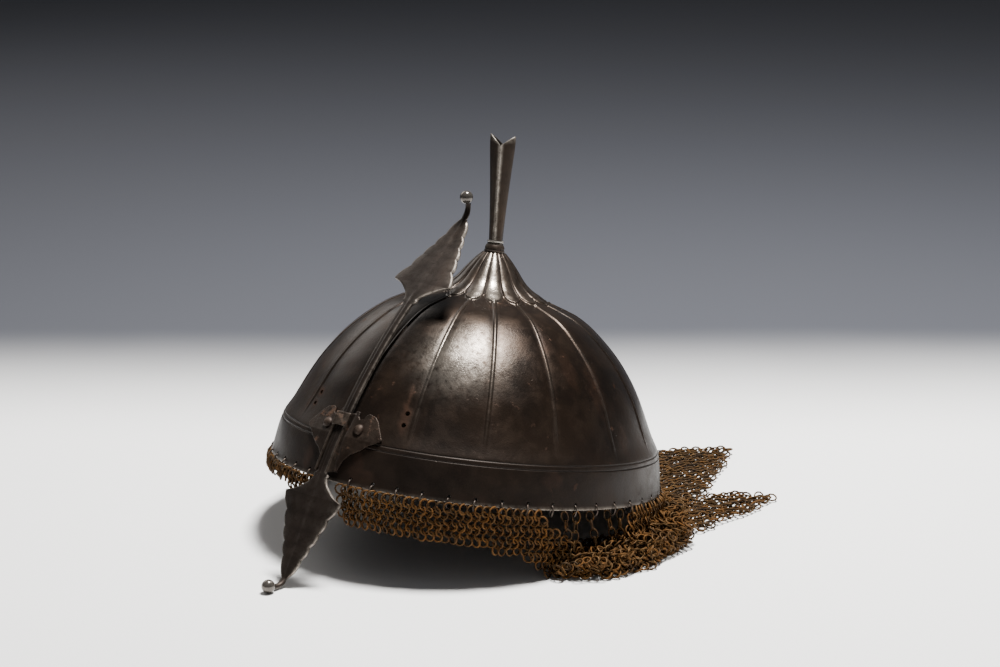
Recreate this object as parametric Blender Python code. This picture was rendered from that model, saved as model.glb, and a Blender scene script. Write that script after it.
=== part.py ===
# Kulah khud: a steel helmet bowl with a sliding nasal, a plume tube and a mail aventail.
# It leans back as it lies, on the nasal's lower ball in front and on its own mail behind.
# Metres, +Z up, the wearer's front towards -Y. The origin is the middle of the footprint.

import math

import bmesh
import bpy
from mathutils import Vector

mm = 0.001

# Bowl
rim_length = 217.2 * mm
rim_width = 203.0 * mm
bowl_height = 117.0 * mm
bowl_wall = 1.6 * mm
round_from = 90.0 * mm
gore_count = 16
rib_width = 2.6 * mm
rib_height = 0.8 * mm
line_height = 20.6 * mm
line_spacing = 2.5 * mm
line_width = 1.3 * mm
line_depth = 0.35 * mm
rim_hole_count = 48
rim_hole_width = 1.7 * mm
rim_hole_height = 3.0 * mm
rim_hole_gap = 8.0
spike_angle = 19.5
spike_hole_width = 2.6 * mm
spike_hole_height = 35.8 * mm
spike_hole_spacing = 5.6 * mm

# Petals chased round the crown
petal_tip = 94.3 * mm
petal_valley = 96.4 * mm
petal_rise = 0.9 * mm

# Pose and seats
lean_back = 11.0
seat_gap = 0.3 * mm
slide_gap = 0.3 * mm

# Collar, washer and plume tube
collar_width = 10.9 * mm
collar_top_width = 8.6 * mm
collar_height = 4.9 * mm
washer_width = 8.8 * mm
washer_thickness = 0.9 * mm
tube_length = 55.5 * mm
tube_base_width = 7.4 * mm
tube_mouth_width = 13.8 * mm
tube_mouth_depth = 9.4 * mm
tube_wall = 0.8 * mm
tube_notch = 5.6 * mm
tube_turn = 27.0
tube_lean = 4.6

# Nasal
nasal_radius = 300.0 * mm
nasal_standoff = 2.0 * mm
nasal_standoff_top = 14.0 * mm
nasal_top_height = 0.73 * bowl_height
bar_width = 5.8 * mm
bar_thickness = 2.4 * mm
bar_length = 0.855 * bowl_height
leaf_base_height = 3.6 * mm
upper_leaf_length = 0.59 * bowl_height
lower_leaf_length = 0.577 * bowl_height
leaf_width = 38.0 * mm
leaf_thickness = 1.8 * mm
lobe_rise = 1.1 * mm
stem_width = 3.0 * mm
ball_width = 6.9 * mm

# Bracket
plate_thickness = 1.2 * mm
plate_half_width = 25.0 * mm
plate_top = 34.6 * mm
plate_bottom = 4.6 * mm
rail_thickness = 1.2 * mm
rail_lip = 0.5 * mm
strap_height = 6.4 * mm
strap_thickness = 1.2 * mm
rivet_width = 5.6 * mm
rivet_height = 1.7 * mm
rivet_place = 10.4 * mm
rivet_level = 26.3 * mm

# Mail
mail_thickness = 3.0 * mm
mail_gap = 0.6 * mm
mail_slack = 2.0 * mm

# Bowl profile: share of the bowl's height, share of the rim's mean radius
bowl_profile = (
    (0.000, 1.000),
    (0.176, 0.962),
    (0.239, 0.924),
    (0.308, 0.884),
    (0.427, 0.815),
    (0.556, 0.715),
    (0.667, 0.591),
    (0.752, 0.455),
    (0.790, 0.338),
    (0.812, 0.270),
    (0.841, 0.212),
    (0.874, 0.171),
    (0.927, 0.127),
    (0.973, 0.086),
    (1.000, 0.056),
)

# Leaf shoulder, from the bar to the corner: share of the leaf's length, share of its half width
leaf_shoulder = ((0.000, 0.19), (0.068, 0.30), (0.125, 0.53), (0.165, 0.76), (0.187, 1.00))

# Notches between the leaf's lobes: share of the leaf's length, share of its half width
leaf_notches = ((0.187, 1.00), (0.325, 0.74), (0.445, 0.61), (0.554, 0.45), (0.661, 0.32), (0.819, 0.11))

# How the leaves bend away from the bar's arc: share of the leaf's length, degrees
upper_bend = ((0.00, 0.0), (0.36, 1.0), (0.60, 0.0), (0.78, -8.0), (0.87, -24.0), (0.93, -50.0), (1.0, -84.0))
lower_bend = ((0.00, 0.0), (0.10, -2.0), (0.70, -1.5), (0.79, 3.0), (0.86, 30.0), (0.92, 64.0), (1.0, 84.0))

# Half outline of the bracket's plate: share of its half width, share of its height
plate_outline = (
    (0.00, 1.00),
    (0.24, 1.00),
    (0.26, 0.93),
    (0.32, 0.88),
    (0.40, 0.90),
    (0.43, 0.97),
    (0.48, 1.00),
    (0.64, 0.97),
    (0.75, 0.90),
    (0.83, 0.81),
    (0.90, 0.74),
    (1.00, 0.64),
    (0.90, 0.58),
    (0.78, 0.53),
    (0.62, 0.42),
    (0.42, 0.32),
    (0.30, 0.20),
    (0.25, 0.08),
    (0.24, 0.00),
    (0.00, 0.00),
)

# Lower edge of the mail on the wearer's left, from the face round to the nape.
# Azimuth in degrees, drop below the rim, reach outwards and reach backwards in millimetres.
# A drop of 99 lies on the surface that the helmet stands on.
mail_edge = (
    (9.0, 21.5, 0.5, 0.0),
    (30.0, 22.5, 1.0, -0.5),
    (55.0, 22.5, 1.0, -0.5),
    (62.0, 27.0, 1.0, 0.5),
    (67.0, 99.0, 2.5, 2.0),
    (72.0, 99.0, 8.0, -1.0),
    (78.0, 99.0, 17.0, -3.0),
    (86.0, 99.0, 20.5, 0.5),
    (97.0, 99.0, 22.0, 2.5),
    (105.0, 99.0, 27.5, 9.0),
    (110.0, 99.0, 22.0, 14.0),
    (114.0, 99.0, 17.5, 18.0),
    (118.0, 99.0, 20.5, 36.0),
    (122.0, 99.0, 25.5, 54.0),
    (126.0, 99.0, 28.0, 67.0),
    (131.0, 99.0, 16.5, 46.5),
    (134.0, 99.0, 13.5, 29.5),
    (138.0, 99.0, 10.5, 13.5),
    (142.0, 99.0, 13.5, 24.0),
    (148.0, 99.0, 14.5, 37.0),
    (156.0, 99.0, 16.0, 55.0),
    (165.0, 99.0, 15.5, 80.0),
    (171.0, 99.0, 9.5, 64.0),
    (176.0, 99.0, 3.5, 40.0),
    (180.0, 99.0, 0.0, 27.0),
)

# The same on the wearer's right, forward of the place from which both sides are alike
right_edge = (
    (9.0, 8.0, 0.5, 0.0),
    (60.0, 8.0, 1.0, -0.5),
    (74.0, 15.0, 1.0, 0.5),
    (82.0, 24.0, 1.0, 0.5),
    (86.0, 99.0, 6.0, 0.5),
    (92.0, 99.0, 20.0, 1.0),
)


# Small helpers

def clear_scene():
    for thing in list(bpy.data.objects):
        bpy.data.objects.remove(thing, do_unlink=True)


def curve_value(table, at):
    """A smooth curve through the rows of a table that never overshoots them."""
    if at <= table[0][0]:
        return table[0][1]
    if at >= table[-1][0]:
        return table[-1][1]
    steps = [b[0] - a[0] for a, b in zip(table, table[1:])]
    slopes = [(b[1] - a[1]) / (b[0] - a[0]) for a, b in zip(table, table[1:])]

    def tangent(row):
        if row == 0:
            return slopes[0]
        if row == len(slopes):
            return slopes[-1]
        before, after = slopes[row - 1], slopes[row]
        if before * after <= 0:
            return 0.0
        first = 2 * steps[row] + steps[row - 1]
        second = steps[row] + 2 * steps[row - 1]
        return (first + second) / (first / before + second / after)

    row = 0
    while table[row + 1][0] < at:
        row += 1
    step = steps[row]
    t = (at - table[row][0]) / step
    low, high = table[row][1], table[row + 1][1]
    return ((1 + 2 * t) * (1 - t) ** 2 * low + t * (1 - t) ** 2 * step * tangent(row)
            + t * t * (3 - 2 * t) * high + t * t * (t - 1) * step * tangent(row + 1))


def make_material(name, colour, metallic, roughness):
    material = bpy.data.materials.new(name)
    material.use_nodes = True
    shader = material.node_tree.nodes["Principled BSDF"]
    shader.inputs["Base Color"].default_value = (*colour, 1.0)
    shader.inputs["Metallic"].default_value = metallic
    shader.inputs["Roughness"].default_value = roughness
    return material


def add_object(name, work, material, parent=None, sharp=35.0):
    bmesh.ops.recalc_face_normals(work, faces=work.faces)
    mesh = bpy.data.meshes.new(name)
    work.to_mesh(mesh)
    work.free()
    mesh.materials.append(material)
    mesh.shade_smooth()
    mesh.set_sharp_from_angle(angle=math.radians(sharp))
    thing = bpy.data.objects.new(name, mesh)
    bpy.context.collection.objects.link(thing)
    thing.parent = parent
    return thing


def add_empty(name, place, parent=None):
    empty = bpy.data.objects.new(name, None)
    empty.location = place
    empty.parent = parent
    bpy.context.collection.objects.link(empty)
    return empty


def skin(rings):
    """One closed body through rings of equal count, with a face over the first and the last."""
    work = bmesh.new()
    loops = [[work.verts.new(point) for point in ring] for ring in rings]
    count = len(loops[0])
    for lower, upper in zip(loops, loops[1:]):
        for k in range(count):
            after = (k + 1) % count
            work.faces.new((lower[k], lower[after], upper[after], upper[k]))
    work.faces.new(list(reversed(loops[0])))
    work.faces.new(loops[-1])
    return work


def cut_or_join(thing, other, operation):
    modifier = thing.modifiers.new(other.name, "BOOLEAN")
    modifier.operation = operation
    modifier.object = other
    modifier.solver = "EXACT"
    other.hide_render = True
    other.display_type = "WIRE"


# Bowl surface, in the helmet's own frame: rim centre at the origin, +Z along the bowl's axis

mean_radius = math.sqrt(rim_length * rim_width) / 2
rim_stretch = math.sqrt(rim_length / rim_width)
gore = 2 * math.pi / gore_count


def bowl_radius(height):
    return mean_radius * curve_value(bowl_profile, height / bowl_height)


def bowl_halves(height):
    """Half width and half length of the bowl's plan, oval at the rim and round at the crown."""
    stretch = 1 + (rim_stretch - 1) * max(0.0, 1 - height / round_from)
    radius = bowl_radius(height)
    return radius / stretch, radius * stretch


def plan_point(azimuth, height):
    half_width, half_length = bowl_halves(height)
    return Vector((half_width * math.sin(azimuth), -half_length * math.cos(azimuth), height))


def bowl_normal(azimuth, height):
    turn = 0.01
    rise = 0.4 * mm
    above = min(height + rise, bowl_height)
    below = max(height - rise, 0.0)
    along = plan_point(azimuth + turn, height) - plan_point(azimuth - turn, height)
    up = plan_point(azimuth, above) - plan_point(azimuth, below)
    return along.cross(up).normalized()


def bowl_point(azimuth, height, lift=0.0):
    return plan_point(azimuth, height) + lift * bowl_normal(azimuth, height)


def azimuth_at(sideways, height):
    return math.asin(sideways / bowl_halves(height)[0])


# Bowl

def rib_lift(rib, height):
    """Rise of a rib. The front one starts above the bracket, the others above the incised line."""
    start = plate_top + 1.0 * mm if rib == 0 else line_height + 3 * mm
    rise = (height - start) / (14 * mm)
    return rib_height * max(0.0, min(1.0, rise))


def gore_columns(radius):
    """Angles of one gore's columns, from its rib, and where each lies between rib and valley."""
    half_rib = min(rib_width / 2 / radius, gore / 6)
    angles = [-half_rib, 0.0, half_rib]
    rest = gore - 2 * half_rib
    angles += [half_rib + rest * k / 4 for k in (1, 2, 3)]
    return angles


def outer_ring(height, on_petal, drop=0.0):
    """One ring of the outside. Petal rows follow the petals' pointed lower ends."""
    ring = []
    for k in range(gore_count):
        for column, angle in enumerate(gore_columns(bowl_radius(height))):
            across = min(1.0, abs(angle if angle < gore / 2 else angle - gore) / (gore / 2))
            level = height
            lift = -drop
            if on_petal is None:
                lift += rib_lift(k, height) if column == 1 else 0.0
            else:
                edge = petal_tip + (petal_valley - petal_tip) * across ** 1.5
                level = edge + (bowl_height - edge) * on_petal
                swell = petal_rise * (1 - across ** 2) * min(1.0, bowl_radius(level) / bowl_radius(petal_tip) + 0.2)
                lift += swell + 0.3 * mm if 0 < on_petal < 1 else 0.0
                if on_petal == 0:
                    lift += rib_height if column == 1 else 0.0
            ring.append(bowl_point(k * gore + angle, level, lift))
    return ring


def inner_ring(height):
    """One ring of the inside, a wall's thickness in from the outside."""
    half_rib = gore_columns(bowl_radius(height))
    return [bowl_point(k * gore + angle, height, -bowl_wall) for k in range(gore_count) for angle in half_rib]


def make_bowl(parent, material):
    groove = line_width / 2
    lower = line_height - line_spacing / 2
    upper = line_height + line_spacing / 2
    outside = [outer_ring(bowl_height, None)]
    for share in (0.85, 0.55, 0.3, 0.12, 0.02, 0.0):
        outside.append(outer_ring(petal_tip, share))
    for share in (0.965, 0.9, 0.82, 0.72, 0.61, 0.5, 0.4, 0.31):
        outside.append(outer_ring(petal_tip * share, None))
    outside.append(outer_ring(line_height + 3 * mm, None))
    for line in (upper, lower):
        outside.append(outer_ring(line + groove, None))
        outside.append(outer_ring(line, None, line_depth))
        outside.append(outer_ring(line - groove, None))
    outside.append(outer_ring(line_height * 0.45, None))
    outside.append(outer_ring(0.0, None))
    inside = [inner_ring(bowl_height * share) for share in (0.0, 0.18, 0.36, 0.52, 0.66, 0.75, 0.81, 0.86, 0.92)]
    flat_rim = [Vector((point.x, point.y, 0.0)) for point in inside[0]]
    bowl = add_object("bowl", skin(outside + [flat_rim] + inside[1:]), material, parent)
    cut_or_join(bowl, bowl_cutters(parent, material), "DIFFERENCE")
    return bowl


def drill(work, azimuth, height, width):
    """Adds one drill across the wall, square to the surface."""
    out = bowl_normal(azimuth, height)
    turn = Vector((0, 0, 1)).rotation_difference(out).to_matrix().to_4x4()
    turn.translation = bowl_point(azimuth, height, -bowl_wall / 2)
    bmesh.ops.create_cone(work, cap_ends=True, segments=6, radius1=width / 2, radius2=width / 2,
                          depth=4 * bowl_wall, matrix=turn)


def rim_hole_azimuths():
    """Mail holes round the rim, clear of the bracket."""
    gap = math.radians(rim_hole_gap)
    step = (2 * math.pi - 2 * gap) / (rim_hole_count - 1)
    return [gap + k * step for k in range(rim_hole_count)]


def bowl_cutters(parent, material):
    work = bmesh.new()
    for azimuth in rim_hole_azimuths():
        drill(work, azimuth, rim_hole_height, rim_hole_width)
    for side in (1, -1):
        for level in (-1, 1):
            height = spike_hole_height + level * spike_hole_spacing / 2
            drill(work, side * math.radians(spike_angle), height, spike_hole_width)
    cutter = add_object("bowl_drills", work, material, parent)
    return cutter


# Collar, washer and plume tube, stacked on the crown

def disc_ring(radius, height, count=24):
    return [Vector((radius * math.cos(2 * math.pi * k / count), radius * math.sin(2 * math.pi * k / count), height))
            for k in range(count)]


def make_collar(parent, material):
    base = bowl_height + seat_gap
    bevel = 0.4 * mm
    rings = [disc_ring(collar_width / 2 - bevel, base)]
    rings.append(disc_ring(collar_width / 2, base + bevel))
    rings.append(disc_ring(collar_width / 2 * 0.97, base + collar_height * 0.45))
    rings.append(disc_ring(collar_top_width / 2, base + collar_height - bevel))
    rings.append(disc_ring(collar_top_width / 2 - bevel, base + collar_height))
    return add_object("collar", skin(rings), material, parent)


def make_washer(parent, material):
    base = bowl_height + 2 * seat_gap + collar_height
    bevel = washer_thickness / 3
    radius = washer_width / 2
    rings = [disc_ring(radius - bevel, base), disc_ring(radius, base + bevel)]
    rings.append(disc_ring(radius, base + washer_thickness - bevel))
    rings.append(disc_ring(radius - bevel, base + washer_thickness))
    return add_object("washer", skin(rings), material, parent)


tube_base = bowl_height + 3 * seat_gap + collar_height + washer_thickness


def tube_ring(share, inset, mouth=False, count=16):
    """A section that is round at the foot and a ridged lens at the swallow-tailed mouth."""
    half_width = tube_base_width / 2 + (tube_mouth_width - tube_base_width) / 2 * share ** 1.25
    half_depth = tube_base_width / 2 + (tube_mouth_depth - tube_base_width) / 2 * share
    squareness = 1.0 + 0.45 * min(1.0, 2.5 * share)
    turn = math.radians(tube_turn)
    ring = []
    for k in range(count):
        angle = 2 * math.pi * k / count
        c, s = math.cos(angle), math.sin(angle)
        across = math.copysign(abs(c) ** squareness, c)
        forward = math.copysign(abs(s) ** squareness, s)
        height = share * (tube_length - tube_notch)
        if mouth:
            height = tube_length - tube_notch * (1 - abs(across))
        x = (half_width - inset) * across
        y = (half_depth - inset) * forward
        lean = -height * math.tan(math.radians(tube_lean))
        ring.append(Vector((x * math.cos(turn) - y * math.sin(turn),
                            x * math.sin(turn) + y * math.cos(turn) + lean, tube_base + height)))
    return ring


def make_tube(parent, material):
    shares = (0.0, 0.2, 0.4, 0.7)
    rings = [tube_ring(share, 0.0) for share in shares] + [tube_ring(1.0, 0.0, mouth=True)]
    rings += [tube_ring(1.0, tube_wall, mouth=True)]
    rings += [tube_ring(share, tube_wall) for share in (0.7, 0.4, 0.15)]
    return add_object("plume_tube", skin(rings), material, parent)


# Nasal: its bar is an arc, so it slides by turning about the arc's centre

def nasal_arc():
    """Centre of the bar's arc, in the helmet's frame, from two places off the bowl's front."""
    low = Vector((-bowl_halves(line_height)[1] - nasal_standoff, line_height))
    high = Vector((-bowl_halves(nasal_top_height)[1] - nasal_standoff_top, nasal_top_height))
    chord = high - low
    slope = math.atan2(chord.x, chord.y) - math.asin(chord.length / 2 / nasal_radius)
    return low + nasal_radius * Vector((math.cos(slope), -math.sin(slope)))


arc_centre = nasal_arc()
base_slope = math.asin((leaf_base_height - arc_centre.y) / nasal_radius)


def leaf_line(end, direction, length, bend):
    """Places along a leaf, from the bar's end to the ball: distance, centre, slope."""
    count = 138
    step = length / count
    place = Vector((-nasal_radius * math.cos(end), nasal_radius * math.sin(end)))
    line = [(0.0, place, end)]
    for k in range(1, count + 1):
        slope = end + math.radians(curve_value(bend, (k - 0.5) / count))
        place = place + direction * step * Vector((math.sin(slope), math.cos(slope)))
        line.append((k * step, place, end + math.radians(curve_value(bend, k / count))))
    return line


def line_at(line, distance):
    """Centre and slope at a distance along a leaf."""
    row = min(int(distance / line[-1][0] * (len(line) - 1)), len(line) - 2)
    low, high = line[row], line[row + 1]
    t = (distance - low[0]) / (high[0] - low[0])
    return low[1].lerp(high[1], t), low[2] + (high[2] - low[2]) * t


def leaf_half_width(share):
    """Half width of a leaf: hollow shoulder, five lobes with notches between, then the stem."""
    half = leaf_width / 2
    if share <= leaf_shoulder[-1][0]:
        return half * curve_value(leaf_shoulder, share)
    for low, high in zip(leaf_notches, leaf_notches[1:]):
        if share <= high[0]:
            t = (share - low[0]) / (high[0] - low[0])
            return half * (low[1] + (high[1] - low[1]) * t) + lobe_rise * math.sin(math.pi * t)
    taper = (share - leaf_notches[-1][0]) / (1 - leaf_notches[-1][0])
    return half * leaf_notches[-1][1] + (stem_width / 2 - half * leaf_notches[-1][1]) * min(1.0, 2 * taper)


def blade_ring(place, slope, half_width, half_thickness, edge, ridge):
    """Cross-section of the bar or a leaf: eight points, with a low ridge down the front."""
    out = Vector((0.0, -math.cos(slope), math.sin(slope)))
    centre = Vector((0.0, place.x, place.y))
    section = (
        (-half_width, edge),
        (-half_width / 2, half_thickness),
        (0.0, half_thickness + ridge),
        (half_width / 2, half_thickness),
        (half_width, edge),
        (half_width, -edge),
        (0.0, -half_thickness),
        (-half_width, -edge),
    )
    return [centre + Vector((across, 0.0, 0.0)) + out * depth for across, depth in section]


def leaf_rings(line):
    """Sections along a leaf from the bar outwards, closer together where its outline turns."""
    shares = [0.0, 0.035, 0.068, 0.1, 0.13, 0.155, 0.175, 0.187]
    for low, high in zip(leaf_notches, leaf_notches[1:]):
        shares += [low[0] + (high[0] - low[0]) * t for t in (0.2, 0.5, 0.8, 1.0)]
    length = line[-1][0]
    stem_end = 1 - (ball_width / 2 + seat_gap) / length
    shares += [shares[-1] + (stem_end - shares[-1]) * t for t in (0.3, 0.55, 0.8, 1.0)]
    rings = []
    for share in shares:
        place, slope = line_at(line, share * length)
        half_width = leaf_half_width(share)
        half_thickness = leaf_thickness / 2
        edge = min(0.5 * mm, half_thickness)
        if share > leaf_notches[-1][0]:
            half_thickness = stem_width / 2.4
            edge = stem_width / 4
        rings.append(blade_ring(place, slope, half_width, half_thickness, edge, 0.0))
    return rings


def bar_rings():
    count = 14
    rings = []
    for share in [0.01] + [k / count for k in range(1, count)] + [0.99]:
        slope = base_slope + bar_length / nasal_radius * share
        place = nasal_radius * Vector((-math.cos(slope), math.sin(slope)))
        half = bar_thickness / 2
        rings.append(blade_ring(place, slope, bar_width / 2, half - 0.25 * mm, half - 0.4 * mm, 0.25 * mm))
    return rings


def make_nasal(parent, material):
    upper = leaf_line(base_slope + bar_length / nasal_radius, 1, upper_leaf_length, upper_bend)
    lower = leaf_line(base_slope, -1, lower_leaf_length, lower_bend)
    rings = list(reversed(leaf_rings(lower))) + bar_rings() + leaf_rings(upper)
    add_object("nasal", skin(rings), material, parent)
    return upper[-1][1], lower[-1][1]


def make_ball(name, place, parent, material):
    work = bmesh.new()
    bmesh.ops.create_uvsphere(work, u_segments=14, v_segments=9, radius=ball_width / 2)
    ball = add_object(name, work, material, parent, sharp=60.0)
    ball.location = (0.0, place.x, place.y)
    return ball


# Bracket: a lobed plate on the bowl, two rails beside the bar and a strap across it

def make_plate(parent, material):
    """The two lobes of the plate, either side of the slot in which the bar slides."""
    work = bmesh.new()
    slot = bar_width / 2 + slide_gap + rail_thickness / 2
    half = [(max(slot, across * plate_half_width), plate_bottom + up * (plate_top - plate_bottom))
            for across, up in plate_outline]
    for side in (1, -1):
        work.faces.new([work.verts.new((side * x, 0.0, z)) for x, z in half])
    pieces = 8
    for k in range(1, pieces):
        x = plate_half_width * (2 * k / pieces - 1)
        bmesh.ops.bisect_plane(work, geom=work.verts[:] + work.edges[:] + work.faces[:], dist=1e-6,
                               plane_co=(x, 0, 0), plane_no=(1, 0, 0))
    for share in (0.2, 0.4, 0.58, 0.76, 0.9):
        z = plate_bottom + share * (plate_top - plate_bottom)
        bmesh.ops.bisect_plane(work, geom=work.verts[:] + work.edges[:] + work.faces[:], dist=1e-6,
                               plane_co=(0, 0, z), plane_no=(0, 0, 1))
    raised = bmesh.ops.extrude_face_region(work, geom=work.faces[:], use_keep_orig=True)
    for vert in [v for v in raised["geom"] if isinstance(v, bmesh.types.BMVert)]:
        vert.co.y = plate_thickness
    for vert in work.verts:
        lift = seat_gap + vert.co.y
        vert.co = bowl_point(azimuth_at(vert.co.x, vert.co.z), vert.co.z, lift)
    return add_object("nasal_bracket", work, material, parent)


def guide_block(name, left, right, low, high, back, front, parent, material):
    """A block between two heights whose back and front follow the bowl or the bar's arc."""
    rings = []
    count = 6
    for k in range(count + 1):
        height = low + (high - low) * k / count
        rings.append([Vector((left, back(left, height), height)), Vector((right, back(right, height), height)),
                      Vector((right, front(height), height)), Vector((left, front(height), height))])
    return add_object(name, skin(rings), material, parent)


def arc_front(height, out):
    """Where the bar's arc, moved out by a distance, crosses a height."""
    radius = nasal_radius + out
    slope = math.asin((height - arc_centre.y) / radius)
    return arc_centre.x - radius * math.cos(slope)


def plate_middle(x, height):
    return bowl_point(azimuth_at(x, height), height, seat_gap + plate_thickness / 2).y


def make_bracket(parent, material):
    plate = make_plate(parent, material)
    inner = bar_width / 2 + slide_gap
    outer = inner + rail_thickness
    lip = bar_thickness / 2 + slide_gap + rail_lip
    low = plate_bottom + 0.3 * mm
    high = plate_top - 0.6 * mm
    for side, left, right in (("left", inner, outer), ("right", -outer, -inner)):
        rail = guide_block(f"rail_{side}", left, right, low, high, plate_middle,
                           lambda z: arc_front(z, lip), parent, material)
        cut_or_join(plate, rail, "UNION")
    strap_in = bar_thickness / 2 + slide_gap
    wide = outer + 0.3 * mm
    strap = guide_block("strap", -wide, wide, high + 0.3 * mm - strap_height, high + 0.3 * mm,
                        lambda x, z: arc_front(z, strap_in), lambda z: arc_front(z, strap_in + strap_thickness),
                        parent, material)
    cut_or_join(plate, strap, "UNION")
    return plate


def make_rivet(name, sideways, parent, material):
    azimuth = azimuth_at(sideways, rivet_level)
    out = bowl_normal(azimuth, rivet_level)
    rings = []
    for share in (0.0, 0.35, 0.7, 0.93):
        radius = rivet_width / 2 * math.sqrt(1 - share ** 2)
        rings.append(disc_ring(radius, rivet_height * share, 12))
    rivet = add_object(name, skin(rings), material, parent, sharp=60.0)
    rivet.rotation_mode = "QUATERNION"
    rivet.rotation_quaternion = Vector((0, 0, 1)).rotation_difference(out)
    rivet.location = bowl_point(azimuth, rivet_level, plate_thickness + 2 * seat_gap)
    return rivet


# Mail: one draped band, hanging from the rim in front and lying on the ground behind

def mail_rows():
    """Azimuth, drop, outward reach and backward reach, all the way round in order."""
    alike = [row for row in mail_edge if row[0] > right_edge[-1][0]]
    right = [(360 - a, drop, -out, back) for a, drop, out, back in reversed(right_edge + tuple(alike[:-1]))]
    rows = [(a, drop * mm, out * mm, back * mm) for a, drop, out, back in mail_edge + tuple(right)]
    fine = [rows[0]]
    for low, high in zip(rows, rows[1:]):
        cuts = max(1, round((high[0] - low[0]) / 4.5))
        for k in range(1, cuts + 1):
            t = k / cuts
            fine.append(tuple(a + (b - a) * t for a, b in zip(low, high)))
    return fine


def drape(reach, start, drop):
    """Points of the mail's middle down one section: distance out, height."""
    middle = mail_thickness / 2
    if drop < start - middle:
        return [(reach * t, start - drop * t) for t in (0.0, 0.15, 0.3, 0.45, 0.6, 0.75, 0.9, 1.0)]
    reach = max(reach, mail_slack)
    touch = min(reach, 0.75 * start + mail_slack)
    corners = ((0.0, start), (0.1 * touch, middle + (start - middle) * 0.45), (0.35 * touch, middle), (touch, middle))
    points = []
    for k in range(6):
        t = k / 5
        weights = ((1 - t) ** 3, 3 * t * (1 - t) ** 2, 3 * t * t * (1 - t), t ** 3)
        points.append(tuple(sum(w * c[axis] for w, c in zip(weights, corners)) for axis in (0, 1)))
    flat = reach - touch
    return points + [(touch + max(flat, 0.2 * mm) * 0.5, middle), (touch + max(flat, 0.2 * mm), middle)]


def mail_section(frame, azimuth, drop, out, back):
    """A closed loop round the mail's thickness at one azimuth."""
    half_width, half_length = bowl_halves(0.0)
    across = (half_width - bowl_wall / 2) * math.sin(azimuth)
    along = -(half_length - bowl_wall / 2) * math.cos(azimuth)
    rim = frame @ Vector((across, along, 0.0))
    heading = Vector((out, back, 0.0))
    outward = Vector((math.sin(azimuth), -math.cos(azimuth), 0.0))
    reach = heading.length
    if reach < 1e-5:
        heading = outward
    heading.normalize()
    line = drape(reach, rim.z - mail_gap, drop)
    front = []
    rear = []
    for k, (distance, height) in enumerate(line):
        before = line[max(k - 1, 0)]
        after = line[min(k + 1, len(line) - 1)]
        run = Vector((after[0] - before[0], after[1] - before[1])).normalized()
        normal = Vector((-run.y, run.x)) * mail_thickness / 2
        if k == 0:
            normal = Vector((mail_thickness / 2, 0.0))
        spread = 1 - distance / max(reach, mail_slack)
        facing = (outward * spread + heading * (1 - spread)).normalized()
        middle = Vector((rim.x, rim.y, 0.0)) + heading * distance
        front.append(middle + facing * normal.x + Vector((0, 0, height + normal.y)))
        rear.append(middle - facing * normal.x + Vector((0, 0, max(height - normal.y, 0.0))))
    return front + list(reversed(rear))


def make_aventail(frame, material):
    rings = [mail_section(frame, math.radians(a), drop, out, back) for a, drop, out, back in mail_rows()]
    return add_object("aventail", skin(rings), material)


# The whole helmet

def helmet_place(ball_place):
    """Where the rim's centre lies, so that the lower ball touches the ground and the footprint is centred."""
    lean = math.radians(lean_back)
    ball = Vector((ball_place.x + arc_centre.x, ball_place.y + arc_centre.y))
    rise = ball_width / 2 + ball.x * math.sin(lean) - ball.y * math.cos(lean)
    front = ball.x * math.cos(lean) + ball.y * math.sin(lean) - ball_width / 2
    half_length = bowl_halves(0.0)[1] - bowl_wall / 2
    back = max(-half_length * math.cos(lean) * math.cos(math.radians(a)) + reach * mm
               for a, drop, out, reach in mail_edge)
    return Vector((0.0, -(front + back) / 2, rise))


def build():
    clear_scene()
    dark_steel = make_material("dark_steel", (0.060, 0.052, 0.046), 0.9, 0.42)
    worn_steel = make_material("worn_steel", (0.110, 0.098, 0.088), 0.9, 0.40)
    bright_steel = make_material("bright_steel", (0.62, 0.60, 0.56), 1.0, 0.22)
    rusty_mail = make_material("rusty_mail", (0.150, 0.080, 0.040), 0.7, 0.62)

    helmet = add_empty("helmet_frame", (0, 0, 0))
    pivot = add_empty("nasal_pivot", (0.0, arc_centre.x, arc_centre.y), helmet)
    upper_ball, lower_ball = make_nasal(pivot, worn_steel)
    make_ball("upper_ball", upper_ball, pivot, bright_steel)
    make_ball("lower_ball", lower_ball, pivot, bright_steel)
    helmet.location = helmet_place(lower_ball)
    helmet.rotation_euler = (-math.radians(lean_back), 0.0, 0.0)
    bpy.context.view_layer.update()

    make_bowl(helmet, dark_steel)
    make_collar(helmet, dark_steel)
    make_washer(helmet, bright_steel)
    make_tube(helmet, worn_steel)
    make_bracket(helmet, dark_steel)
    make_rivet("rivet_left", rivet_place, helmet, worn_steel)
    make_rivet("rivet_right", -rivet_place, helmet, worn_steel)
    make_aventail(helmet.matrix_world.copy(), rusty_mail)


build()
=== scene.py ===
import math

import bpy
import numpy as np
from mathutils import Matrix, Vector


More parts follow.
